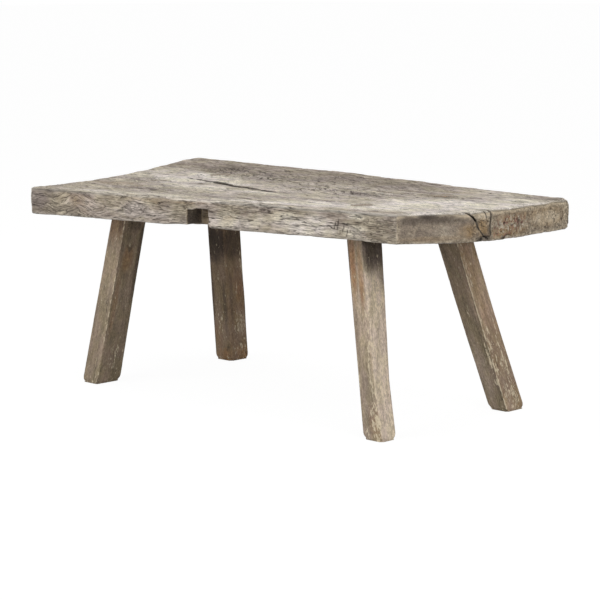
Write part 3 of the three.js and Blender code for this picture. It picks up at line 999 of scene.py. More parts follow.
strip_width = 4 * mm
strip = np.round(y / strip_width).astype(int)
strip -= strip.min()
end_top = np.zeros(strip.max() + 1)
np.maximum.at(end_top, strip, np.where(right_end > 0.5, z, 0))
below_edge = end_top[strip] - z
worn_end = np.maximum(right_end, upper_end) * (1 - ease(below_edge, 2 * mm, 10 * mm))
worn_end *= 0.40 + 0.28 * ease(y, -0.14, -0.10)
yellow = right_end * oval(end_y, end_z, (0.122, 0.3930), (0.052, 0.0150))
worn_end = np.maximum(worn_end, 0.34 * yellow)
worn_end *= 1 + 0.5 * lumps(places, (0.020, 0.010, 0.006), 53)
rubbed = np.maximum(rubbed, worn_end)
rubbed *= 1 - ease(stain_and_shade, 0.1, 0.4)
print("stained points:", int((stain_and_shade > 0.4).sum()), "and worn ones:", int((worn_end > 0.3).sum()))

# %% [markdown]
# Every groove is darkened: the fissures, the blade marks and the split, and a little the
# hollows between the ripples. The darkening stands for dirt and for painted shade in them.

# %% Dirt
hollow_share, notch_wall_shade = 0.34, 0.62
dark_groove_depth = 1.6 * mm
# The hollows between the ripples are darkened as painted shade, with a little dirt.
hollow_shade_and_dirt = hollow_share * ease(ripple, 0.30 * mm, 1.30 * mm)
# The notch's walls, but not its back, are darkened further as painted shade.
hollow_shade_and_dirt = np.maximum(hollow_shade_and_dirt, np.where(in_notch & ~back_of_notch, notch_wall_shade, 0))
dirt_and_shade = np.clip((fissure + 1.5 * blade) / dark_groove_depth, hollow_shade_and_dirt, 1)
dirt_and_shade = np.maximum.reduce([dirt_and_shade, split_dirt_and_shade, stain_and_shade])
store(plank, "wear_and_shade", np.clip(rubbed, 0, 1), dirt_and_shade, np.clip(end_grain, 0, 1))
print("dirty points:", int((dirt_and_shade > 0.5).sum()))

# %% [markdown]
# The fourth set has the pitted part of the right end, which is full of pale and reddish
# crumbs, and the sawn end, which has fewer cracks than the rest. Its third value is spare.
# The fifth has the zones of the top with broad short cracks, the curled grain and the front.

# %% Specks and cracks
pitted = oval(end_y, end_z, (0.010, 0.389), (0.062, 0.020))
pitted_below = oval(end_y, end_z, (-0.02, 0.374), (0.05, 0.009))
pitted = side["right"] * np.maximum(pitted, 0.8 * pitted_below)
store(plank, "specks", pitted, side["clipped"], np.zeros(len(x)))
crack_zones = [
    # middle, radii, turn, strength
    ((-0.33, 0.160), (0.11, 0.050), 0.0, 0.9),
    ((-0.15, 0.110), (0.17, 0.055), -0.1, 1.0),
    ((0.13, 0.030), (0.19, 0.060), -0.1, 1.0),
    ((0.32, 0.080), (0.08, 0.030), 0.0, 1.0),
    ((0.15, 0.150), (0.25, 0.050), 0.0, 0.6),
    ((-0.24, -0.150), (0.17, 0.045), 0.0, 0.8),
    ((-0.40, -0.020), (0.10, 0.060), 0.0, 0.7),
    ((0.20, -0.120), (0.14, 0.040), 0.0, 0.5),
    ((0.43, -0.040), (0.10, 0.060), 0.0, 0.3),
]
cracked = np.maximum.reduce([
    strength * oval(x, y, centre, radii, turn) for centre, radii, turn, strength in crack_zones
])
cracked *= on_top
store(plank, "cracked", cracked, curled, side["front"])
print("attributes kept:", ", ".join(("grain", "tone", "wear_and_shade", "specks", "cracked")))

# %% [markdown]
# ## Checks in the right end
#
# A check is a split that runs into a plank from its end as it dries. It is far too narrow
# and deep for moving points inwards, so it is cut out. The cutter is a crooked blade that
# follows a path down the end and tapers into the wood. The Boolean modifier takes it away
# from the plank once the plank is carved. The cutter has attributes of its own, which its
# walls leave in the plank: they paint the inside of a check dark, as the shade in it.

# %% Paths of the checks
cutter_start = 12 * mm
cutter_stations = 9
cutter_least = 0.15 * mm
cutter_wander = 0.5 * mm
cutter_behind_end = 1.5 * mm
# The walls of a check are painted dark and fully darkened, as painted shade inside the crack.
dark_wood = (0.0, 1.0, 0.0)
shaded_end_grain = (0.0, 1.0, 1.0)
check_paths = {
    # across, up, half the width at the end, depth
    "slanted": [
        (-0.1330, 0.4360, 1.6 * mm, 0.060),
        (-0.1205, 0.4235, 2.2 * mm, 0.070),
        (-0.1120, 0.4165, 3.6 * mm, 0.080),
        (-0.1040, 0.4100, 3.0 * mm, 0.085),
        (-0.0975, 0.4045, 3.2 * mm, 0.085),
        (-0.0925, 0.3980, 1.9 * mm, 0.085),
        (-0.0860, 0.3890, 1.5 * mm, 0.080),
        (-0.0775, 0.3800, 1.8 * mm, 0.075),
        (-0.0680, 0.3730, 2.6 * mm, 0.070),
        (-0.0580, 0.3600, 3.4 * mm, 0.070),
    ],
    "upright": [
        (-0.0570, 0.4360, 1.3 * mm, 0.045),
        (-0.0540, 0.4200, 2.0 * mm, 0.055),
        (-0.0505, 0.4120, 1.3 * mm, 0.060),
        (-0.0530, 0.4040, 1.8 * mm, 0.060),
        (-0.0530, 0.3940, 1.2 * mm, 0.060),
        (-0.0550, 0.3860, 1.5 * mm, 0.060),
        (-0.0520, 0.3760, 2.2 * mm, 0.055),
        (-0.0510, 0.3600, 2.8 * mm, 0.050),
    ],
    "short": [
        (-0.0740, 0.4360, 1.2 * mm, 0.022),
        (-0.0700, 0.4220, 1.6 * mm, 0.024),
        (-0.0670, 0.4140, 1.2 * mm, 0.018),
        (-0.0655, 0.4070, 0.3 * mm, 0.006),
    ],
}
for name, path in check_paths.items():
    print("the", name, "check goes", round(1000 * max(row[3] for row in path)), "mm deep")


# %% Check cutters
def cutter_walls(mesh, path, seed):
    """Rows of point pairs, one on either side of a crooked blade."""
    size = (len(path), cutter_stations)
    wander = np.random.default_rng(seed).normal(size=size) * cutter_wander
    grid = []
    for row, (across, up, half, depth) in enumerate(path):
        grid.append([])
        for station in range(cutter_stations):
            share = station / (cutter_stations - 1)
            inwards = -cutter_start + share * (depth + cutter_start)
            width = cutter_least + half * (1 - max(inwards, 0) / depth)
            middle = across + wander[row, station]
            at = solid_high.x - cutter_behind_end - inwards
            pair = [mesh.verts.new((at, middle + turn * width, up)) for turn in (-1, 1)]
            grid[row].append(pair)
    return grid


def cutter_mesh(path, seed):
    """A closed, crooked blade: two walls over a path, narrowing into the wood."""
    mesh = bmesh.new()
    grid = cutter_walls(mesh, path, seed)
    last_row, last_station = len(path) - 1, cutter_stations - 1

    def close_rim(near, far):
        mesh.faces.new([near[0], near[1], far[1], far[0]])

    for row in range(last_row):
        for station in range(last_station):
            for turn in (0, 1):
                around = [grid[row][station], grid[row][station + 1]]
                around += [grid[row + 1][station + 1], grid[row + 1][station]]
                mesh.faces.new([pair[turn] for pair in around])
        for end in (0, last_station):
            close_rim(grid[row][end], grid[row + 1][end])
    for row in (0, last_row):
        for station in range(last_station):
            close_rim(grid[row][station], grid[row][station + 1])
    bmesh.ops.recalc_face_normals(mesh, faces=mesh.faces)
    return mesh


def cut_check(piece, name, path):
    mesh = cutter_mesh(path, len(path))
    cutter = bpy.data.objects.new("cutter_" + name, bpy.data.meshes.new("cutter_" + name))
    mesh.to_mesh(cutter.data)
    mesh.free()
    scene.collection.objects.link(cutter)
    cut_places = points_of(cutter)[0]
    store(cutter, "grain", *cut_places.T)
    store(cutter, "tone", *np.tile(dark_wood, (len(cut_places), 1)).T)
    store(cutter, "wear_and_shade", *np.tile(shaded_end_grain, (len(cut_places), 1)).T)
    taken = piece.modifiers.new(name, "BOOLEAN")
    taken.object, taken.operation, taken.solver = cutter, "DIFFERENCE", "MANIFOLD"
    before = len(piece.data.polygons)
    settle(piece)
    bpy.data.objects.remove(cutter)
    print("cut the", name, "check:", len(piece.data.polygons) - before, "faces more")


# %% [markdown]
# ## Weathered plank wood
#
# The material is built in layers, as the real surface came about. First the wood itself:
# growth rings round the pith, cut lengthwise into lines along the plank and shown as arcs
# on its ends. Then fine fibres. Then decades of weather, which bleached some zones to a
# cream and left others purplish grey. Last the fine dark cracks, the dirt and painted shade
# in the grooves and the pale rubbed edges.

# %% Plank wood
wood_light = (0.660, 0.590, 0.500)
wood_dark = (0.285, 0.240, 0.198)
bleached = (0.970, 0.920, 0.845)
greyed = (0.275, 0.234, 0.208)
browned = (0.390, 0.285, 0.180)
purplish = (1.000, 0.965, 0.980)
creamy = (1.000, 0.980, 0.885)
end_tint = (1.000, 0.955, 0.850)
crack_and_shade_black = (0.050, 0.040, 0.034)
rubbed_edge = (0.850, 0.785, 0.695)
worn_tan = (0.780, 0.650, 0.470)
speck_pale = (0.700, 0.610, 0.500)
speck_red = (0.380, 0.195, 0.150)
speck_dark = (0.080, 0.060, 0.045)

plank_wood, bench = new_material("weathered_plank")
grain = bench.stored("grain")
pale_here, dark_here, warm_here = bench.stored_parts("tone")
rubbed_here, dirt_and_shade_here, end_here = bench.stored_parts("wear_and_shade")
pitted_here, sawn_here, _ = bench.stored_parts("specks")
cracked_here, curled_here, front_here = bench.stored_parts("cracked")
count_nodes(plank_wood)

# %% [markdown]
# The rings are a sine of the distance from the pith. A slow noise bends them, so that they
# wander and close into pointed figures on the faces as real ones do.

# %% Growth rings
pith_across, pith_through = -0.065, 0.330
ring_density = 1500.0
ring_wander = 0.060
wander = bench.noise(grain, (3.0, 16.0, 16.0), detail=3.0)
_, place_across, place_through = bench.parts(grain)
off_across = bench.maths("SUBTRACT", place_across, pith_across)
off_through = bench.maths("SUBTRACT", place_through, pith_through)
squares = bench.times(off_through, off_through)
from_pith = bench.maths("SQRT", bench.times_plus(off_across, off_across, squares))
ring_place = bench.times_plus(wander, ring_wander, from_pith)
rings = bench.maths("SINE", bench.times(ring_place, ring_density))
rings = bench.ramp(rings, -0.2, 1.0)
print("a ring every", round(2000 * math.pi / ring_density, 1), "mm")

# %% [markdown]
# Between the rings the wood is made of fibres, pores and darker streaks, from hairlines to
# bands as wide as a finger. Each is a noise stretched along the grain. Added up and set
# against a narrow range, they give the figure: 0 where the wood is darkest, 1 where it is
# palest. The front face is a little finer and less patchy than the top.

# %% Fibres and figure
fibres = bench.noise(grain, (80.0, 500.0, 500.0), detail=5.0, roughness=0.7)
lines = bench.noise(grain, (40.0, 270.0, 270.0), detail=4.0, roughness=0.65)
streaks = bench.noise(grain, (18.0, 105.0, 105.0), detail=4.0, roughness=0.6)
bands = bench.noise(grain, (6.0, 44.0, 44.0), detail=3.0, roughness=0.6)
patches = bench.noise(grain, (28.0, 52.0, 52.0), detail=5.0, roughness=0.65)
line_share = bench.times_plus(front_here, 0.07, 0.38)
patch_share = bench.times_plus(front_here, -0.07, 0.16)
figure = bench.times_plus(lines, line_share, bench.times(streaks, 0.32))
figure = bench.times_plus(bands, 0.14, figure)
figure = bench.times_plus(patches, patch_share, figure)
softness = bench.times_plus(front_here, 0.022, 0.085)
softness = bench.times_plus(curled_here, 0.020, softness)
figure = bench.maths("DIVIDE", bench.maths("SUBTRACT", figure, 0.5), softness)
figure = bench.ramp(figure, -1.0, 1.0)
count_nodes(plank_wood)

# %% [markdown]
# A crack is a thin line that wanders along the grain. A cheap way to get thousands of such
# lines is to take stretched noise and mark the places where it is close to one value: the
# marks are the contour lines of the noise. Coarse and fine cracks keep to different places.
# A net of cells, kept to the patches, gives the short links between them.

# %% Fine cracks
def contour(value, level, width):
    """1 on the line where a value passes a level, 0 beside it."""
    off = bench.maths("ABSOLUTE", bench.maths("SUBTRACT", value, level))
    return bench.ramp(off, 0.0, width, 1.0, 0.0)


crack_noise = bench.noise(grain, (10.0, 95.0, 95.0), detail=3.0, roughness=0.5)
fine_noise = bench.noise(grain, (24.0, 230.0, 230.0), detail=2.0, roughness=0.5)
crack_zone = bench.noise(grain, (12.0, 30.0, 30.0), detail=2.0)
cracks = contour(crack_noise, 0.46, 0.030)
cracks = bench.times(cracks, bench.ramp(crack_zone, 0.42, 0.60))
fine = contour(fine_noise, 0.52, 0.045)
fine = bench.times(fine, bench.ramp(crack_zone, 0.64, 0.44))
all_cracks = bench.most(cracks, bench.times(fine, 0.7))
net = bench.add(
    "TexVoronoi",
    {"Vector": bench.stretch(grain, (55.0, 120.0, 120.0)), "Scale": 1.0},
    feature="DISTANCE_TO_EDGE",
).outputs[0]
net = bench.times(bench.ramp(net, 0.0, 0.045, 1.0, 0.0), bench.ramp(patches, 0.5, 0.7))
net = bench.times(net, bench.maths("SUBTRACT", 1.0, end_here))
all_cracks = bench.most(all_cracks, bench.times(net, 0.5))
count_nodes(plank_wood)

# %% [markdown]
# In the most weathered zones of the top the cracks are broad, short and slanted. They are
# contour lines too, of a noise that is turned about the upright and broken up by another.
# The sawn end keeps only a quarter of all the cracks.

# %% Broad cracks
crack_slant = 0.5
turned = {"Vector": grain, "Angle": crack_slant}
slanted = bench.add("VectorRotate", turned, rotation_type="Z_AXIS").outputs[0]
wide_noise = bench.noise(slanted, (22.0, 70.0, 70.0), detail=2.0, roughness=0.5, distortion=0.8)
broken = bench.noise(slanted, (30.0, 48.0, 48.0), detail=2.0)
wide = bench.times(contour(wide_noise, 0.50, 0.088), bench.ramp(broken, 0.44, 0.54))
wide = bench.times(wide, cracked_here)
all_cracks = bench.most(all_cracks, wide)
all_cracks = bench.times(all_cracks, bench.times_plus(sawn_here, -0.75, 1.0))
count_nodes(plank_wood)

# %% [markdown]
# The colours go on from the wood outwards: rings, streaks and fibres, then the zones of the
# weather. Bleaching takes the pale streaks first, while grey and brown come in patches. Two
# faint tints keep the grey from looking dead.

# %% Colour of the plank
colour = bench.mix(figure, wood_dark, wood_light)
ring_share = bench.times_plus(end_here, -0.04, 0.16)
ring_share = bench.times_plus(curled_here, 0.10, ring_share)
colour = bench.mix(bench.times(rings, ring_share), colour, wood_dark)
bleaching = bench.ramp(figure, 0.05, 0.50, 0.60, 1.0)
colour = bench.mix(bench.times(pale_here, bleaching), colour, bleached)
staining = bench.ramp(patches, 0.30, 0.60, 0.45, 1.0)
colour = bench.mix(bench.times(dark_here, staining), colour, greyed)
colour = bench.mix(bench.times(warm_here, staining), colour, browned)
colour = bench.mix(1.0, colour, bench.ramp(fibres, 0.40, 0.68, 1.12, 0.70), "MULTIPLY")
hue = bench.noise(grain, (13.0, 24.0, 24.0), detail=4.0, roughness=0.6)
tint = bench.mix(bench.ramp(hue, 0.40, 0.60), purplish, creamy)
tint = bench.mix(end_here, tint, end_tint)
colour = bench.mix(1.0, colour, tint, "MULTIPLY")
count_nodes(plank_wood)

# %% [markdown]
# End grain is gritty, and the pitted part of the right end is full of crumbs: pale, reddish
# and nearly black ones. Over all that lie the rubbed edges, then the cracks, and then the
# dirt and painted shade of the grooves, hollows and recesses.

# %% Grit, crumbs and dirt
crack_strength, dirt_and_shade_strength = 0.86, 0.90
grit = bench.noise(grain, (90.0, 150.0, 150.0), detail=5.0, roughness=0.75)
grit = bench.ramp(grit, 0.36, 0.64, 0.78, 1.16)
colour = bench.mix(end_here, colour, grit, "MULTIPLY")
crumbs = bench.noise(grain, (110.0, 135.0, 135.0), detail=3.0, roughness=0.7)
for low, high, crumb in (
    (0.56, 0.59, speck_pale),
    (0.46, 0.42, speck_red),
    (0.39, 0.36, speck_dark),
):
    colour = bench.mix(bench.times(bench.ramp(crumbs, low, high), pitted_here), colour, crumb)
rub = bench.times(rubbed_here, bench.ramp(patches, 0.3, 0.6, 0.5, 0.95))
colour = bench.mix(rub, colour, bench.mix(end_here, rubbed_edge, worn_tan))
colour = bench.mix(bench.times(all_cracks, crack_strength), colour, crack_and_shade_black)
colour = bench.mix(bench.times(dirt_and_shade_here, dirt_and_shade_strength), colour, crack_and_shade_black)
count_nodes(plank_wood)

# %% [markdown]
# Dry bare wood is matt. Its roughness changes a little with the fibres, and the bump takes
# its relief from the same patterns as the colour, so that every dark line is also a dent.

# %% Finish of the plank
def dry_wood(bench, colour, roughness, relief, strength, height):
    """Ends a material as bare wood, with a bump of the given height."""
    takes = {"Height": relief, "Strength": strength, "Distance": height}
    bump = bench.add("Bump", takes).outputs[0]
    takes = {"Base Color": colour, "Roughness": roughness, "Normal": bump}
    surface = bench.add("BsdfPrincipled", takes)
    surface.inputs["IOR"].default_value = 1.4
    surface.inputs["Specular IOR Level"].default_value = 0.25
    bench.add("OutputMaterial", {"Surface": surface.outputs[0]})


relief = bench.times_plus(all_cracks, -1.0, bench.times(fibres, 0.6))
relief = bench.times_plus(figure, 0.35, relief)
roughness = bench.ramp(fibres, 0.3, 0.7, 0.80, 0.95)
dry_wood(bench, colour, roughness, relief, 0.9, 2.2 * mm)
count_nodes(plank_wood)

# %% [markdown] The carved plank has far more faces than it needs.

# %% Finish the plank
plank_triangles = 188_000
thin_out(plank, plank_triangles)
for name, path in check_paths.items():
    cut_check(plank, name, path)
finish_piece(plank, "slab_top", plank_wood)

# %% [markdown]
# ## Legs
#
# Each leg was split out and squared with an axe, so its four faces are slightly wavy and
# no two of its corners are alike. Two tables give the widths of each leg at its foot and
# its head, along and across the table, how narrow its corners are, and how much they are
# rubbed pale. Each face has shares of pale, dark and warm wood, and then marks: a tone, a
# face, place, height, two radii and a strength. Flakes and knots are placed in the same way.
# Front and back faces are measured along the table from the leg's middle, the others across
# it, and both upwards from the floor. Of the two left legs, the front one has the only
# knot, and the back one has the bluntest corners and is brown near the floor.

# %% Looks of the left legs
leg_looks = {}


def tell_look(place):
    look = leg_looks[place]
    print(place, "leg:", len(look["marks"]), "marks and", len(look["flakes"]), "flaked places")


leg_looks["front_left"] = {
    "foot_widths": (0.048, 0.065),
    "head_widths": (0.044, 0.059),
    "corner_cut": 4.0 * mm,
    "ridge": 0.8 * mm,
    "rub": 0.62,
    # Inward faces darker and outward ones paler: partly painted shade of the plank, partly
    # weathering.
    "faces": {
        "front": (0.06, 0.05, 0.00),
        "right": (0.00, 0.18, 0.02),
        "back": (0.00, 0.30, 0.00),
        "left": (0.15, 0.10, 0.05),
    },
    "marks": [
        ("warm", "front", 0.000, 0.330, 0.030, 0.040, 0.50),
        # The two dark marks at about 0.34 m, just under the plank, are partly painted shade of the
        # plank and partly stains.
        ("dark", "front", 0.012, 0.340, 0.008, 0.030, 0.50),
        ("warm", "right", -0.006, 0.256, 0.020, 0.036, 0.60),
        ("dark", "right", -0.004, 0.284, 0.016, 0.007, 0.60),
        ("dark", "right", -0.004, 0.222, 0.016, 0.007, 0.40),
        ("dark", "right", 0.000, 0.335, 0.030, 0.025, 0.50),
        ("dark", "right", 0.010, 0.080, 0.040, 0.120, 0.34),
        ("dark", "front", -0.010, 0.080, 0.040, 0.140, 0.32),
        ("dark", "right", 0.024, 0.250, 0.010, 0.120, 0.75),
        ("warm", "right", -0.020, 0.170, 0.008, 0.080, 0.50),
    ],
    "flakes": [
        ("right", 0.000, 0.050, 0.022, 0.045, 0.28),
        ("right", 0.020, 0.040, 0.010, 0.040, 0.35),
    ],
    "knots": [("right", -0.006, 0.256, 0.015)],
}
leg_looks["back_left"] = {
    "foot_widths": (0.053, 0.0585),
    "head_widths": (0.0525, 0.057),
    "corner_cut": 7.0 * mm,
    "ridge": 5.5 * mm,
    "rub": 0.10,
    # Inward faces darker and outward ones paler: partly painted shade of the plank, partly
    # weathering.
    "faces": {
        "front": (0.00, 0.30, 0.22),
        "right": (0.00, 0.20, 0.42),
        "back": (0.15, 0.00, 0.10),
        "left": (0.15, 0.10, 0.05),
    },
    "marks": [
        # These two dark marks under the plank are partly painted shade of the plank and partly
        # stains.
        ("dark", "front", 0.000, 0.268, 0.050, 0.062, 1.00),
        ("dark", "right", 0.000, 0.268, 0.050, 0.054, 0.80),
        ("dark", "front", -0.020, 0.150, 0.012, 0.110, 0.70),
        ("dark", "front", 0.018, 0.120, 0.006, 0.100, 0.60),
        ("dark", "right", -0.016, 0.140, 0.006, 0.090, 0.50),
        ("warm", "right", 0.010, 0.160, 0.020, 0.080, 0.80),
        ("warm", "front", -0.005, 0.060, 0.020, 0.050, 0.55),
        ("warm", "front", 0.000, 0.010, 0.040, 0.025, 0.90),
        ("warm", "right", 0.000, 0.014, 0.040, 0.030, 0.90),
        ("dark", "right", 0.026, 0.120, 0.008, 0.100, 0.60),
        ("pale", "right", 0.008, 0.085, 0.016, 0.040, 0.30),
    ],
    "flakes": [
        ("right", 0.018, 0.215, 0.009, 0.045, 0.44),
        ("right", 0.000, 0.160, 0.008, 0.020, 0.40),
        ("right", 0.005, 0.080, 0.024, 0.050, 0.38),
        ("right", 0.000, 0.025, 0.026, 0.025, 0.42),
        ("front", 0.000, 0.090, 0.020, 0.050, 0.26),
    ],
    "knots": [],
}
tell_look("front_left")
tell_look("back_left")

# %% [markdown]
# On the right, the front leg is the slimmest at its foot and the palest, and only this one
# has a spreading foot. The corners of the leg behind it are rubbed the most.

# %% Looks of the right legs
leg_looks["front_right"] = {
    "foot_widths": (0.0405, 0.0425),
    "head_widths": (0.0495, 0.0535),
    "flare": 9.5 * mm,
    "turned": 7.0 * mm,
    "corner_cut": 6.0 * mm,
    "ridge": 2.6 * mm,
    "rub": 0.46,
    # Inward faces darker and outward ones paler: partly painted shade of the plank, partly
    # weathering.
    "faces": {
        "front": (0.36, 0.00, 0.05),
        "right": (0.80, 0.00, 0.00),
        "back": (0.30, 0.20, 0.05),
        "left": (0.00, 0.25, 0.10),
    },
    "marks": [
        # The two dark marks high on the right face, just under the plank, are partly painted shade
        # of the plank and partly a stain.
        ("dark", "right", 0.000, 0.365, 0.060, 0.062, 1.00),
        ("dark", "right", 0.000, 0.335, 0.050, 0.050, 0.92),
        ("dark", "right", 0.016, 0.300, 0.014, 0.045, 0.60),
        ("warm", "front", -0.010, 0.320, 0.010, 0.090, 0.95),
        ("warm", "front", 0.008, 0.290, 0.008, 0.080, 0.75),
        ("pale", "right", 0.005, 0.040, 0.030, 0.080, 1.00),
        ("pale", "front", 0.010, 0.330, 0.008, 0.040, 0.40),
        ("dark", "front", -0.012, 0.170, 0.007, 0.090, 0.35),
        ("dark", "front", 0.000, 0.060, 0.040, 0.100, 0.30),
        ("warm", "front", 0.012, 0.030, 0.016, 0.045, 0.45),
        ("dark", "front", 0.004, 0.100, 0.006, 0.080, 0.30),
    ],
    "flakes": [
        ("front", 0.012, 0.028, 0.014, 0.050, 0.54),
        ("front", 0.014, 0.150, 0.007, 0.110, 0.40),
        ("front", 0.004, 0.012, 0.020, 0.025, 0.42),
        ("front", -0.018, 0.100, 0.006, 0.090, 0.30),
    ],
    "knots": [],
}
leg_looks["back_right"] = {
    "foot_widths": (0.048, 0.0555),
    "head_widths": (0.0515, 0.055),
    "corner_cut": 5.0 * mm,
    "ridge": 0.8 * mm,
    "rub": 1.00,
    # Inward faces darker and outward ones paler: partly painted shade of the plank, partly
    # weathering.
    "faces": {
        "front": (0.00, 0.20, 0.00),
        "right": (0.22, 0.00, 0.42),
        "back": (0.15, 0.10, 0.05),
        "left": (0.00, 0.20, 0.10),
    },
    "marks": [
        # The dark marks at 0.34 to 0.35 m, just under the plank, are partly painted shade of the
        # plank and partly stains.
        ("dark", "front", 0.000, 0.340, 0.040, 0.050, 0.25),
        ("pale", "front", -0.008, 0.080, 0.020, 0.090, 0.30),
        ("dark", "front", 0.020, 0.050, 0.008, 0.060, 0.45),
        ("dark", "right", 0.004, 0.352, 0.040, 0.032, 0.85),
        ("warm", "right", 0.000, 0.260, 0.014, 0.080, 0.35),
        ("dark", "right", 0.000, 0.090, 0.040, 0.110, 0.34),
        ("dark", "front", 0.000, 0.352, 0.050, 0.040, 0.90),
    ],
    "flakes": [
        ("right", -0.018, 0.280, 0.008, 0.050, 0.44),
        ("right", -0.018, 0.110, 0.012, 0.070, 0.46),
        ("right", 0.022, 0.260, 0.006, 0.090, 0.40),
        ("right", 0.005, 0.110, 0.020, 0.050, 0.42),
        ("right", 0.000, 0.030, 0.028, 0.050, 0.46),
        ("front", 0.020, 0.090, 0.008, 0.060, 0.42),
    ],
    "knots": [],
}
tell_look("front_right")
tell_look("back_right")

# %% [markdown]
# The marks lie on one face or another, so each point needs to know its face. A leg is
# slanted and tapered, which is why its direction alone doesn't tell. How far a point lies
# inside the planes of the two nearest faces does: the nearer plane wins.

# %% Faces of a leg
def corner_insets(local, heights, look, leg):
    """How far each point lies inside the two faces that meet at its corner."""
    share = (heights / leg["head"][2])[:, None]
    foot, head = np.array(look["foot_widths"]), np.array(look["head_widths"])
    half_widths = (foot + (head - foot) * share) / 2
    return np.maximum(half_widths - np.abs(local), 0)


def faces_of_leg(local, heights, insets, look):
    """Shares from 0 to 1 that say which face of the leg each point lies on."""
    turned = look.get("turned", 0.0) * ease(heights, 0.10, 0.34)
    sideways = ease(insets[:, 1] - insets[:, 0] + turned, -1.0 * mm, 1.0 * mm)
    return {
        "front": (1 - sideways) * (local[:, 1] < 0),
        "back": (1 - sideways) * (local[:, 1] >= 0),
        "right": sideways * (local[:, 0] > 0),
        "left": sideways * (local[:, 0] <= 0),
    }


for place, look in leg_looks.items():
    widths = ", ".join(str(round(width / mm, 1)) for width in look["foot_widths"])
    print(place, "leg is", widths, "mm wide at its foot, along and across")


# %% [markdown]
# The solid's corners are cut off flat, a little more than on the real legs. The points of
# each flat move back out along the diagonal, up to a narrower ridge whose width changes
# along the leg. The corner towards the camera is the crispest, as on the real table.

# %% Ridges of a leg
def ridges_of_leg(local, wood, upright, insets, look, seed):
    """How far each point moves out, how crisp its corner is, and how much it is a ridge."""
    cut = look["corner_cut"]
    on_flat = upright * (1 - ease(insets.max(axis=1), cut, cut + 2 * mm))
    narrow = look["ridge"] * (1 + 0.2 * lumps(wood, (0.06, 0.03, 0.03), seed + 6))
    reach = np.minimum(insets.min(axis=1) * math.sqrt(2), (cut - narrow) / math.sqrt(2))
    crisp = np.where((local[:, 0] > 0) & (local[:, 1] < 0), 1.0, 0.35)
    off_ridge = insets.max(axis=1) - 0.5 * cut
    ridge = on_flat * crisp * (1 - ease(off_ridge, 0.2 * mm, 1.5 * mm))
    return np.maximum(reach, 0) * on_flat, crisp, ridge


for place, look in leg_looks.items():
    print(place, "leg has ridges", round(look["ridge"] / mm, 1), "mm wide")


# %% [markdown]
# The faint waves of the hewing come next, then the ripple of the grain, chipped corners,
# long fissures and the worn foot, whose corners were rounded off as the table was moved.

# %% Carving of a leg
leg_height = 0.36
half_girth = 0.095
foot_height = 0.014


def fissures_of_leg(local, heights, seed):
    """Long fissures, measured upwards and round the leg."""
    around = np.arctan2(local[:, 1], local[:, 0]) * 0.03
    area = ((0.0, leg_height), (-half_girth, half_girth))
    lengths = (0.02, 0.12)
    return fissures(heights, around, 36, area, seed, lengths, 0.9 * mm, 1.0 * mm, spread=0.015)


def carving_of_leg(wood, insets, ridge, cuts, seed):
    """How deep the shaft is carved at each point, and how near its foot is."""
    swell = 0.45 * mm * layered(wood, (0.12, 0.05, 0.05), seed, layers=2)
    ripple = 0.20 * mm * lumps(wood, (0.110, 0.0100, 0.0100), seed + 3)
    ripple += 0.16 * mm * lumps(wood, (0.060, 0.0045, 0.0045), seed + 2)
    chips = ridge * 0.6 * mm * ease(lumps(wood, (0.016, 0.010, 0.010), seed + 4), 0.1, 0.6)
    foot = 1 - ease(wood[:, 0], 0.0, foot_height)
    foot_wear = foot * (1.0 * mm + 1.6 * mm * lumps(wood, (0.012, 0.014, 0.014), seed + 5))
    foot_wear += 2.6 * mm * foot**1.5 * (1 - ease(insets.max(axis=1), 0.0, 16 * mm))
    return swell + ripple + chips + cuts + foot_wear, foot


print("fissures start up to", leg_height, "m high, and a foot is worn up to", foot_height, "m")


# %% [markdown]
# Like the plank, a leg keeps the tone and the wear of its wood with its points. Round a knot
# the grain spreads apart here too.

# %% Tone and wear of a leg
def tone_of_leg(faces, across, heights, look):
    """Shares of pale, dark and warm wood, from the faces and the marks on them."""
    tone = sum(faces[name][:, None] * np.array(look["faces"][name]) for name in faces)
    for kind, face, u, up, ru, rup, strength in look["marks"]:
        column = ("pale", "dark", "warm").index(kind)
        here = strength * faces[face] * oval(across[face], heights, (u, up), (ru, rup))
        tone[:, column] = np.maximum(tone[:, column], here)
    return np.clip(tone, 0, 1)


def rubbed_of_leg(faces, across, heights, ridge, wood, look, seed):
    """How rubbed the corners and the flaked places are."""
    rubbed = ridge * look["rub"] * (0.8 + 0.4 * lumps(wood, (0.05, 0.05, 0.05), seed + 10))
    for face, u, up, ru, rup, strength in look["flakes"]:
        here = strength * faces[face] * oval(across[face], heights, (u, up), (ru, rup))
        rubbed = np.maximum(rubbed, here)
    return rubbed


def spread_round_knots(faces, across, heights, wood, look):
    for face, u, up, radius in look["knots"]:
        side_step = across[face] - u
        far = np.hypot(side_step * 1.6, heights - up) / (radius * 1.3)
        column = 1 if face in ("front", "back") else 2
        wood[:, column] -= faces[face] * side_step * np.exp(-far * far) * knot_spread


print("legs with a knot:", [place for place, look in leg_looks.items() if look["knots"]])


# %% [markdown]
# One function now makes a leg from these steps. Its places are measured from its own
# slanted middle line, so that the wood's grain leans with it. The foot of the front right
# leg spreads outwards, so its places are measured as if it were straight. The end of the
# tenon is rough and sunk a little below the top, so that it shows as a faint round mark.

# %% Hew a leg
leg_face = 1.5 * mm
leg_triangles = 90_000
shoulder_height = 0.362
tenon_sunk = 1.0 * mm
flare_share = 0.25


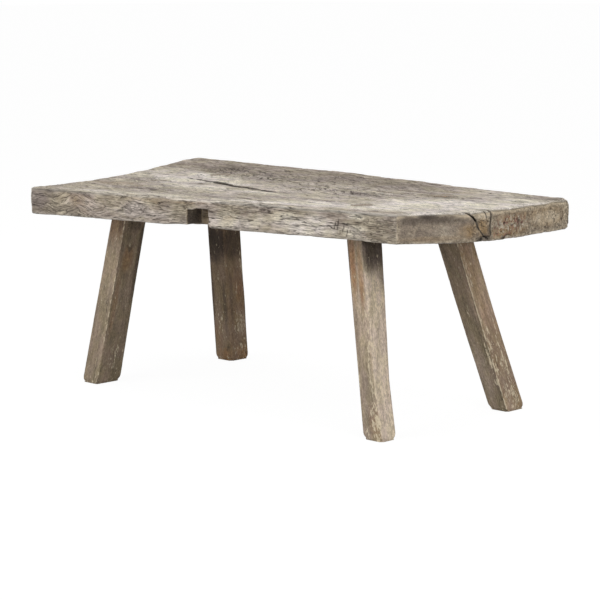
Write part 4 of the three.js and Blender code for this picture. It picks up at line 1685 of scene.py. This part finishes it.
def hew_leg(place, leg, look, seed):
    piece = blank_of("leg_" + place, "leg_" + place + "_hewn", leg_face)
    places, facing = points_of(piece)
    heights = places[:, 2]
    local = places[:, :2] - leg_centre(leg, heights)
    flare = look.get("flare", 0.0) * np.clip(1 - heights / leg["head"][2] / flare_share, 0, 1)
    local[:, 0] -= flare * np.clip(local[:, 0] / (20 * mm), 0, 1)
    across = {"front": local[:, 0], "back": local[:, 0], "right": local[:, 1], "left": local[:, 1]}
    upright = 1 - ease(np.abs(facing[:, 2]), 0.5, 0.85)
    shaft = upright * (1 - ease(heights, shoulder_height - 0.012, shoulder_height))
    wood = np.stack([heights, local[:, 0], local[:, 1]], axis=-1)
    wood[:, 1] += 1.5 * mm * lumps(wood, (0.12, 0.03, 0.03), seed + 7)
    wood[:, 2] += 1.5 * mm * lumps(wood, (0.12, 0.03, 0.03), seed + 8)

    insets = corner_insets(local, heights, look, leg)
    faces = faces_of_leg(local, heights, insets, look)
    reach, crisp, ridge = ridges_of_leg(local, wood, upright, insets, look, seed)
    outwards = np.sign(local) / math.sqrt(2)
    sharpened = places.copy()
    sharpened[:, :2] += outwards * (reach * shaft * crisp)[:, None]

    cuts = fissures_of_leg(local, heights, seed)
    carving, foot = carving_of_leg(wood, insets, ridge, cuts, seed)
    tenon_end = ease(facing[:, 2], 0.5, 0.8) * ease(heights, 0.38, 0.39)
    rough_end = tenon_end * (tenon_sunk + 0.35 * mm * layered(places, (0.012,) * 3, seed))
    carved = sharpened - facing * (carving * shaft + rough_end)[:, None]
    low, high = (np.array(corner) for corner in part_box("leg_" + place))
    move_points(piece, np.clip(carved, low + box_margin, high - box_margin))
    print(piece.name, "is carved up to", round(carving.max() / mm, 1), "mm deep")

    ragged_heights = heights + 8 * mm * lumps(wood, (0.03, 0.01, 0.01), seed + 9)
    tone = tone_of_leg(faces, across, ragged_heights, look)
    rubbed = rubbed_of_leg(faces, across, heights, ridge, wood, look, seed)
    rubbed = np.maximum(rubbed, foot * 0.35 * upright)
    spread_round_knots(faces, across, heights, wood, look)
    # The fissures are darkened with dirt and painted shade.
    cut_dirt_and_shade = np.clip(cuts / (1.2 * mm), 0, 1) * shaft
    store(piece, "grain", *wood.T)
    store(piece, "tone", *tone.T)
    store(piece, "wear_and_shade", np.clip(rubbed, 0, 1), cut_dirt_and_shade, tenon_end)
    thin_out(piece, leg_triangles)
    return piece


# %% [markdown]
# ## Leg wood
#
# The legs share one material. The stored tone decides how pale, dark or warm the wood is.
# The stored wear brings out pale flakes: thin scales of lighter wood, left where the dark
# skin was rubbed off. The ends of the tenons are as grey as the plank round them.

# %% Leg material
leg_mid = (0.392, 0.310, 0.230)
leg_light = (0.730, 0.628, 0.520)
leg_dark = (0.078, 0.062, 0.052)
leg_warm = (0.440, 0.262, 0.148)
leg_olive = (0.335, 0.275, 0.200)
leg_purplish = (1.000, 0.960, 0.960)
leg_creamy = (1.000, 0.985, 0.880)
flake_pale = (0.800, 0.690, 0.500)
tenon_grey = (0.480, 0.425, 0.355)

leg_wood, bench = new_material("hewn_leg")
grain = bench.stored("grain")
pale_here, dark_here, warm_here = bench.stored_parts("tone")
rubbed_here, dirt_and_shade_here, end_here = bench.stored_parts("wear_and_shade")
fibres = bench.noise(grain, (190.0, 460.0, 460.0), detail=5.0, roughness=0.75)
mottle = bench.noise(grain, (110.0, 240.0, 240.0), detail=5.0, roughness=0.7)
streaks = bench.noise(grain, (12.0, 150.0, 150.0), detail=4.0, roughness=0.65)
patches = bench.noise(grain, (20.0, 40.0, 40.0), detail=4.0, roughness=0.6)
figure = bench.times_plus(mottle, 0.6, bench.times(streaks, 0.4))
figure = bench.ramp(figure, 0.38, 0.62)

colour = bench.mix(bench.ramp(patches, 0.38, 0.62), leg_mid, leg_olive)
share = bench.times(pale_here, bench.ramp(figure, 0.0, 0.6, 0.7, 1.0))
colour = bench.mix(share, colour, leg_light)
share = bench.times(warm_here, bench.ramp(patches, 0.38, 0.60, 0.5, 1.0))
colour = bench.mix(share, colour, leg_warm)
share = bench.times(dark_here, bench.ramp(patches, 0.30, 0.60, 0.85, 1.0))
colour = bench.mix(share, colour, leg_dark)
hue = bench.noise(grain, (24.0, 50.0, 50.0), detail=4.0, roughness=0.6)
tint = bench.mix(bench.ramp(hue, 0.38, 0.62), leg_purplish, leg_creamy)
colour = bench.mix(1.0, colour, tint, "MULTIPLY")
colour = bench.mix(1.0, colour, bench.ramp(figure, 0.0, 1.0, 0.84, 1.14), "MULTIPLY")
colour = bench.mix(1.0, colour, bench.ramp(fibres, 0.36, 0.66, 1.18, 0.74), "MULTIPLY")

ends = bench.mix(figure, wood_dark, tenon_grey)
colour = bench.mix(end_here, colour, ends)
count_nodes(leg_wood)

# %% [markdown]
# Cracks are rarer than on the plank, and rarest on pale wood. The pale flakes come from
# noise that has to pass a threshold, and the stored wear lifts it over that. Along a rubbed
# corner they join into a line.

# %% Flakes and cracks of the legs
leg_crack_strength, leg_dirt_and_shade_strength, flake_strength = 0.60, 0.70, 0.80
crack_noise = bench.noise(grain, (22.0, 110.0, 110.0), detail=3.0, roughness=0.5)
cracks = contour(crack_noise, 0.47, 0.028)
cracks = bench.times(cracks, bench.ramp(patches, 0.50, 0.68))
cracks = bench.times(cracks, bench.times_plus(pale_here, -0.8, 1.0))
small = bench.noise(grain, (130.0, 420.0, 420.0), detail=3.0, roughness=0.6)
large = bench.noise(grain, (45.0, 150.0, 150.0), detail=3.0, roughness=0.6)
flakes = bench.times_plus(small, 0.5, bench.times(large, 0.5))
flakes = bench.times_plus(rubbed_here, 0.24, flakes)
flakes = bench.ramp(flakes, 0.605, 0.65)
line = bench.times(bench.ramp(rubbed_here, 0.50, 0.80), bench.ramp(large, 0.40, 0.52))
flakes = bench.most(flakes, bench.times(line, 0.85))
colour = bench.mix(bench.times(flakes, flake_strength), colour, flake_pale)
colour = bench.mix(bench.times(cracks, leg_crack_strength), colour, crack_and_shade_black)
colour = bench.mix(bench.times(dirt_and_shade_here, leg_dirt_and_shade_strength), colour, crack_and_shade_black)

leg_roughness = 0.88
relief = bench.times_plus(cracks, -1.0, bench.times(fibres, 0.8))
relief = bench.times_plus(flakes, 0.25, relief)
dry_wood(bench, colour, leg_roughness, relief, 0.8, 1.6 * mm)
count_nodes(leg_wood)

# %% [markdown]
# Each leg is hewn from its own blank, with a seed of its own, and gets the shared wood.

# %% Make the four legs
first_leg_seed, seeds_for_a_leg = 100, 20
for number, (place, leg) in enumerate(legs.items()):
    seed = first_leg_seed + seeds_for_a_leg * number
    piece = hew_leg(place, leg, leg_looks[place], seed)
    finish_piece(piece, "leg_" + place, leg_wood)

# %% [markdown]
# ## Wedges
#
# A thin wedge was driven into a saw cut across the top of each tenon, which spreads it in
# its hole. Only the wedge's end shows, a narrow bar of end grain. It is carved like the
# legs, from smaller faces, and shares their wood.

# %% Wedges
wedge_face = 0.7 * mm
wedge_tone = (0.25, 0.1, 0.1)
wedge_wear = (0.0, 0.0, 0.5)
for number, place in enumerate(legs):
    piece = blank_of("wedge_" + place, "wedge_" + place + "_split", wedge_face)
    places, facing = points_of(piece)
    sunk = ease(places[:, 2], 0.395, 0.400) * ease(facing[:, 2], 0.3, 0.6) * 1.2 * mm
    rough = 0.12 * mm * lumps(places, (0.004, 0.004, 0.02), number)
    carved = places - facing * (sunk + rough)[:, None]
    low, high = (np.array(corner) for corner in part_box("wedge_" + place))
    move_points(piece, np.clip(carved, low + box_margin, high - box_margin))
    store(piece, "grain", places[:, 2], places[:, 0], places[:, 1])
    store(piece, "tone", *np.tile(wedge_tone, (len(places), 1)).T)
    store(piece, "wear_and_shade", *np.tile(wedge_wear, (len(places), 1)).T)
    finish_piece(piece, "wedge_" + place, leg_wood)

# %% [markdown]
# ## Sizes
#
# The carved table has to stay inside the solids' box.
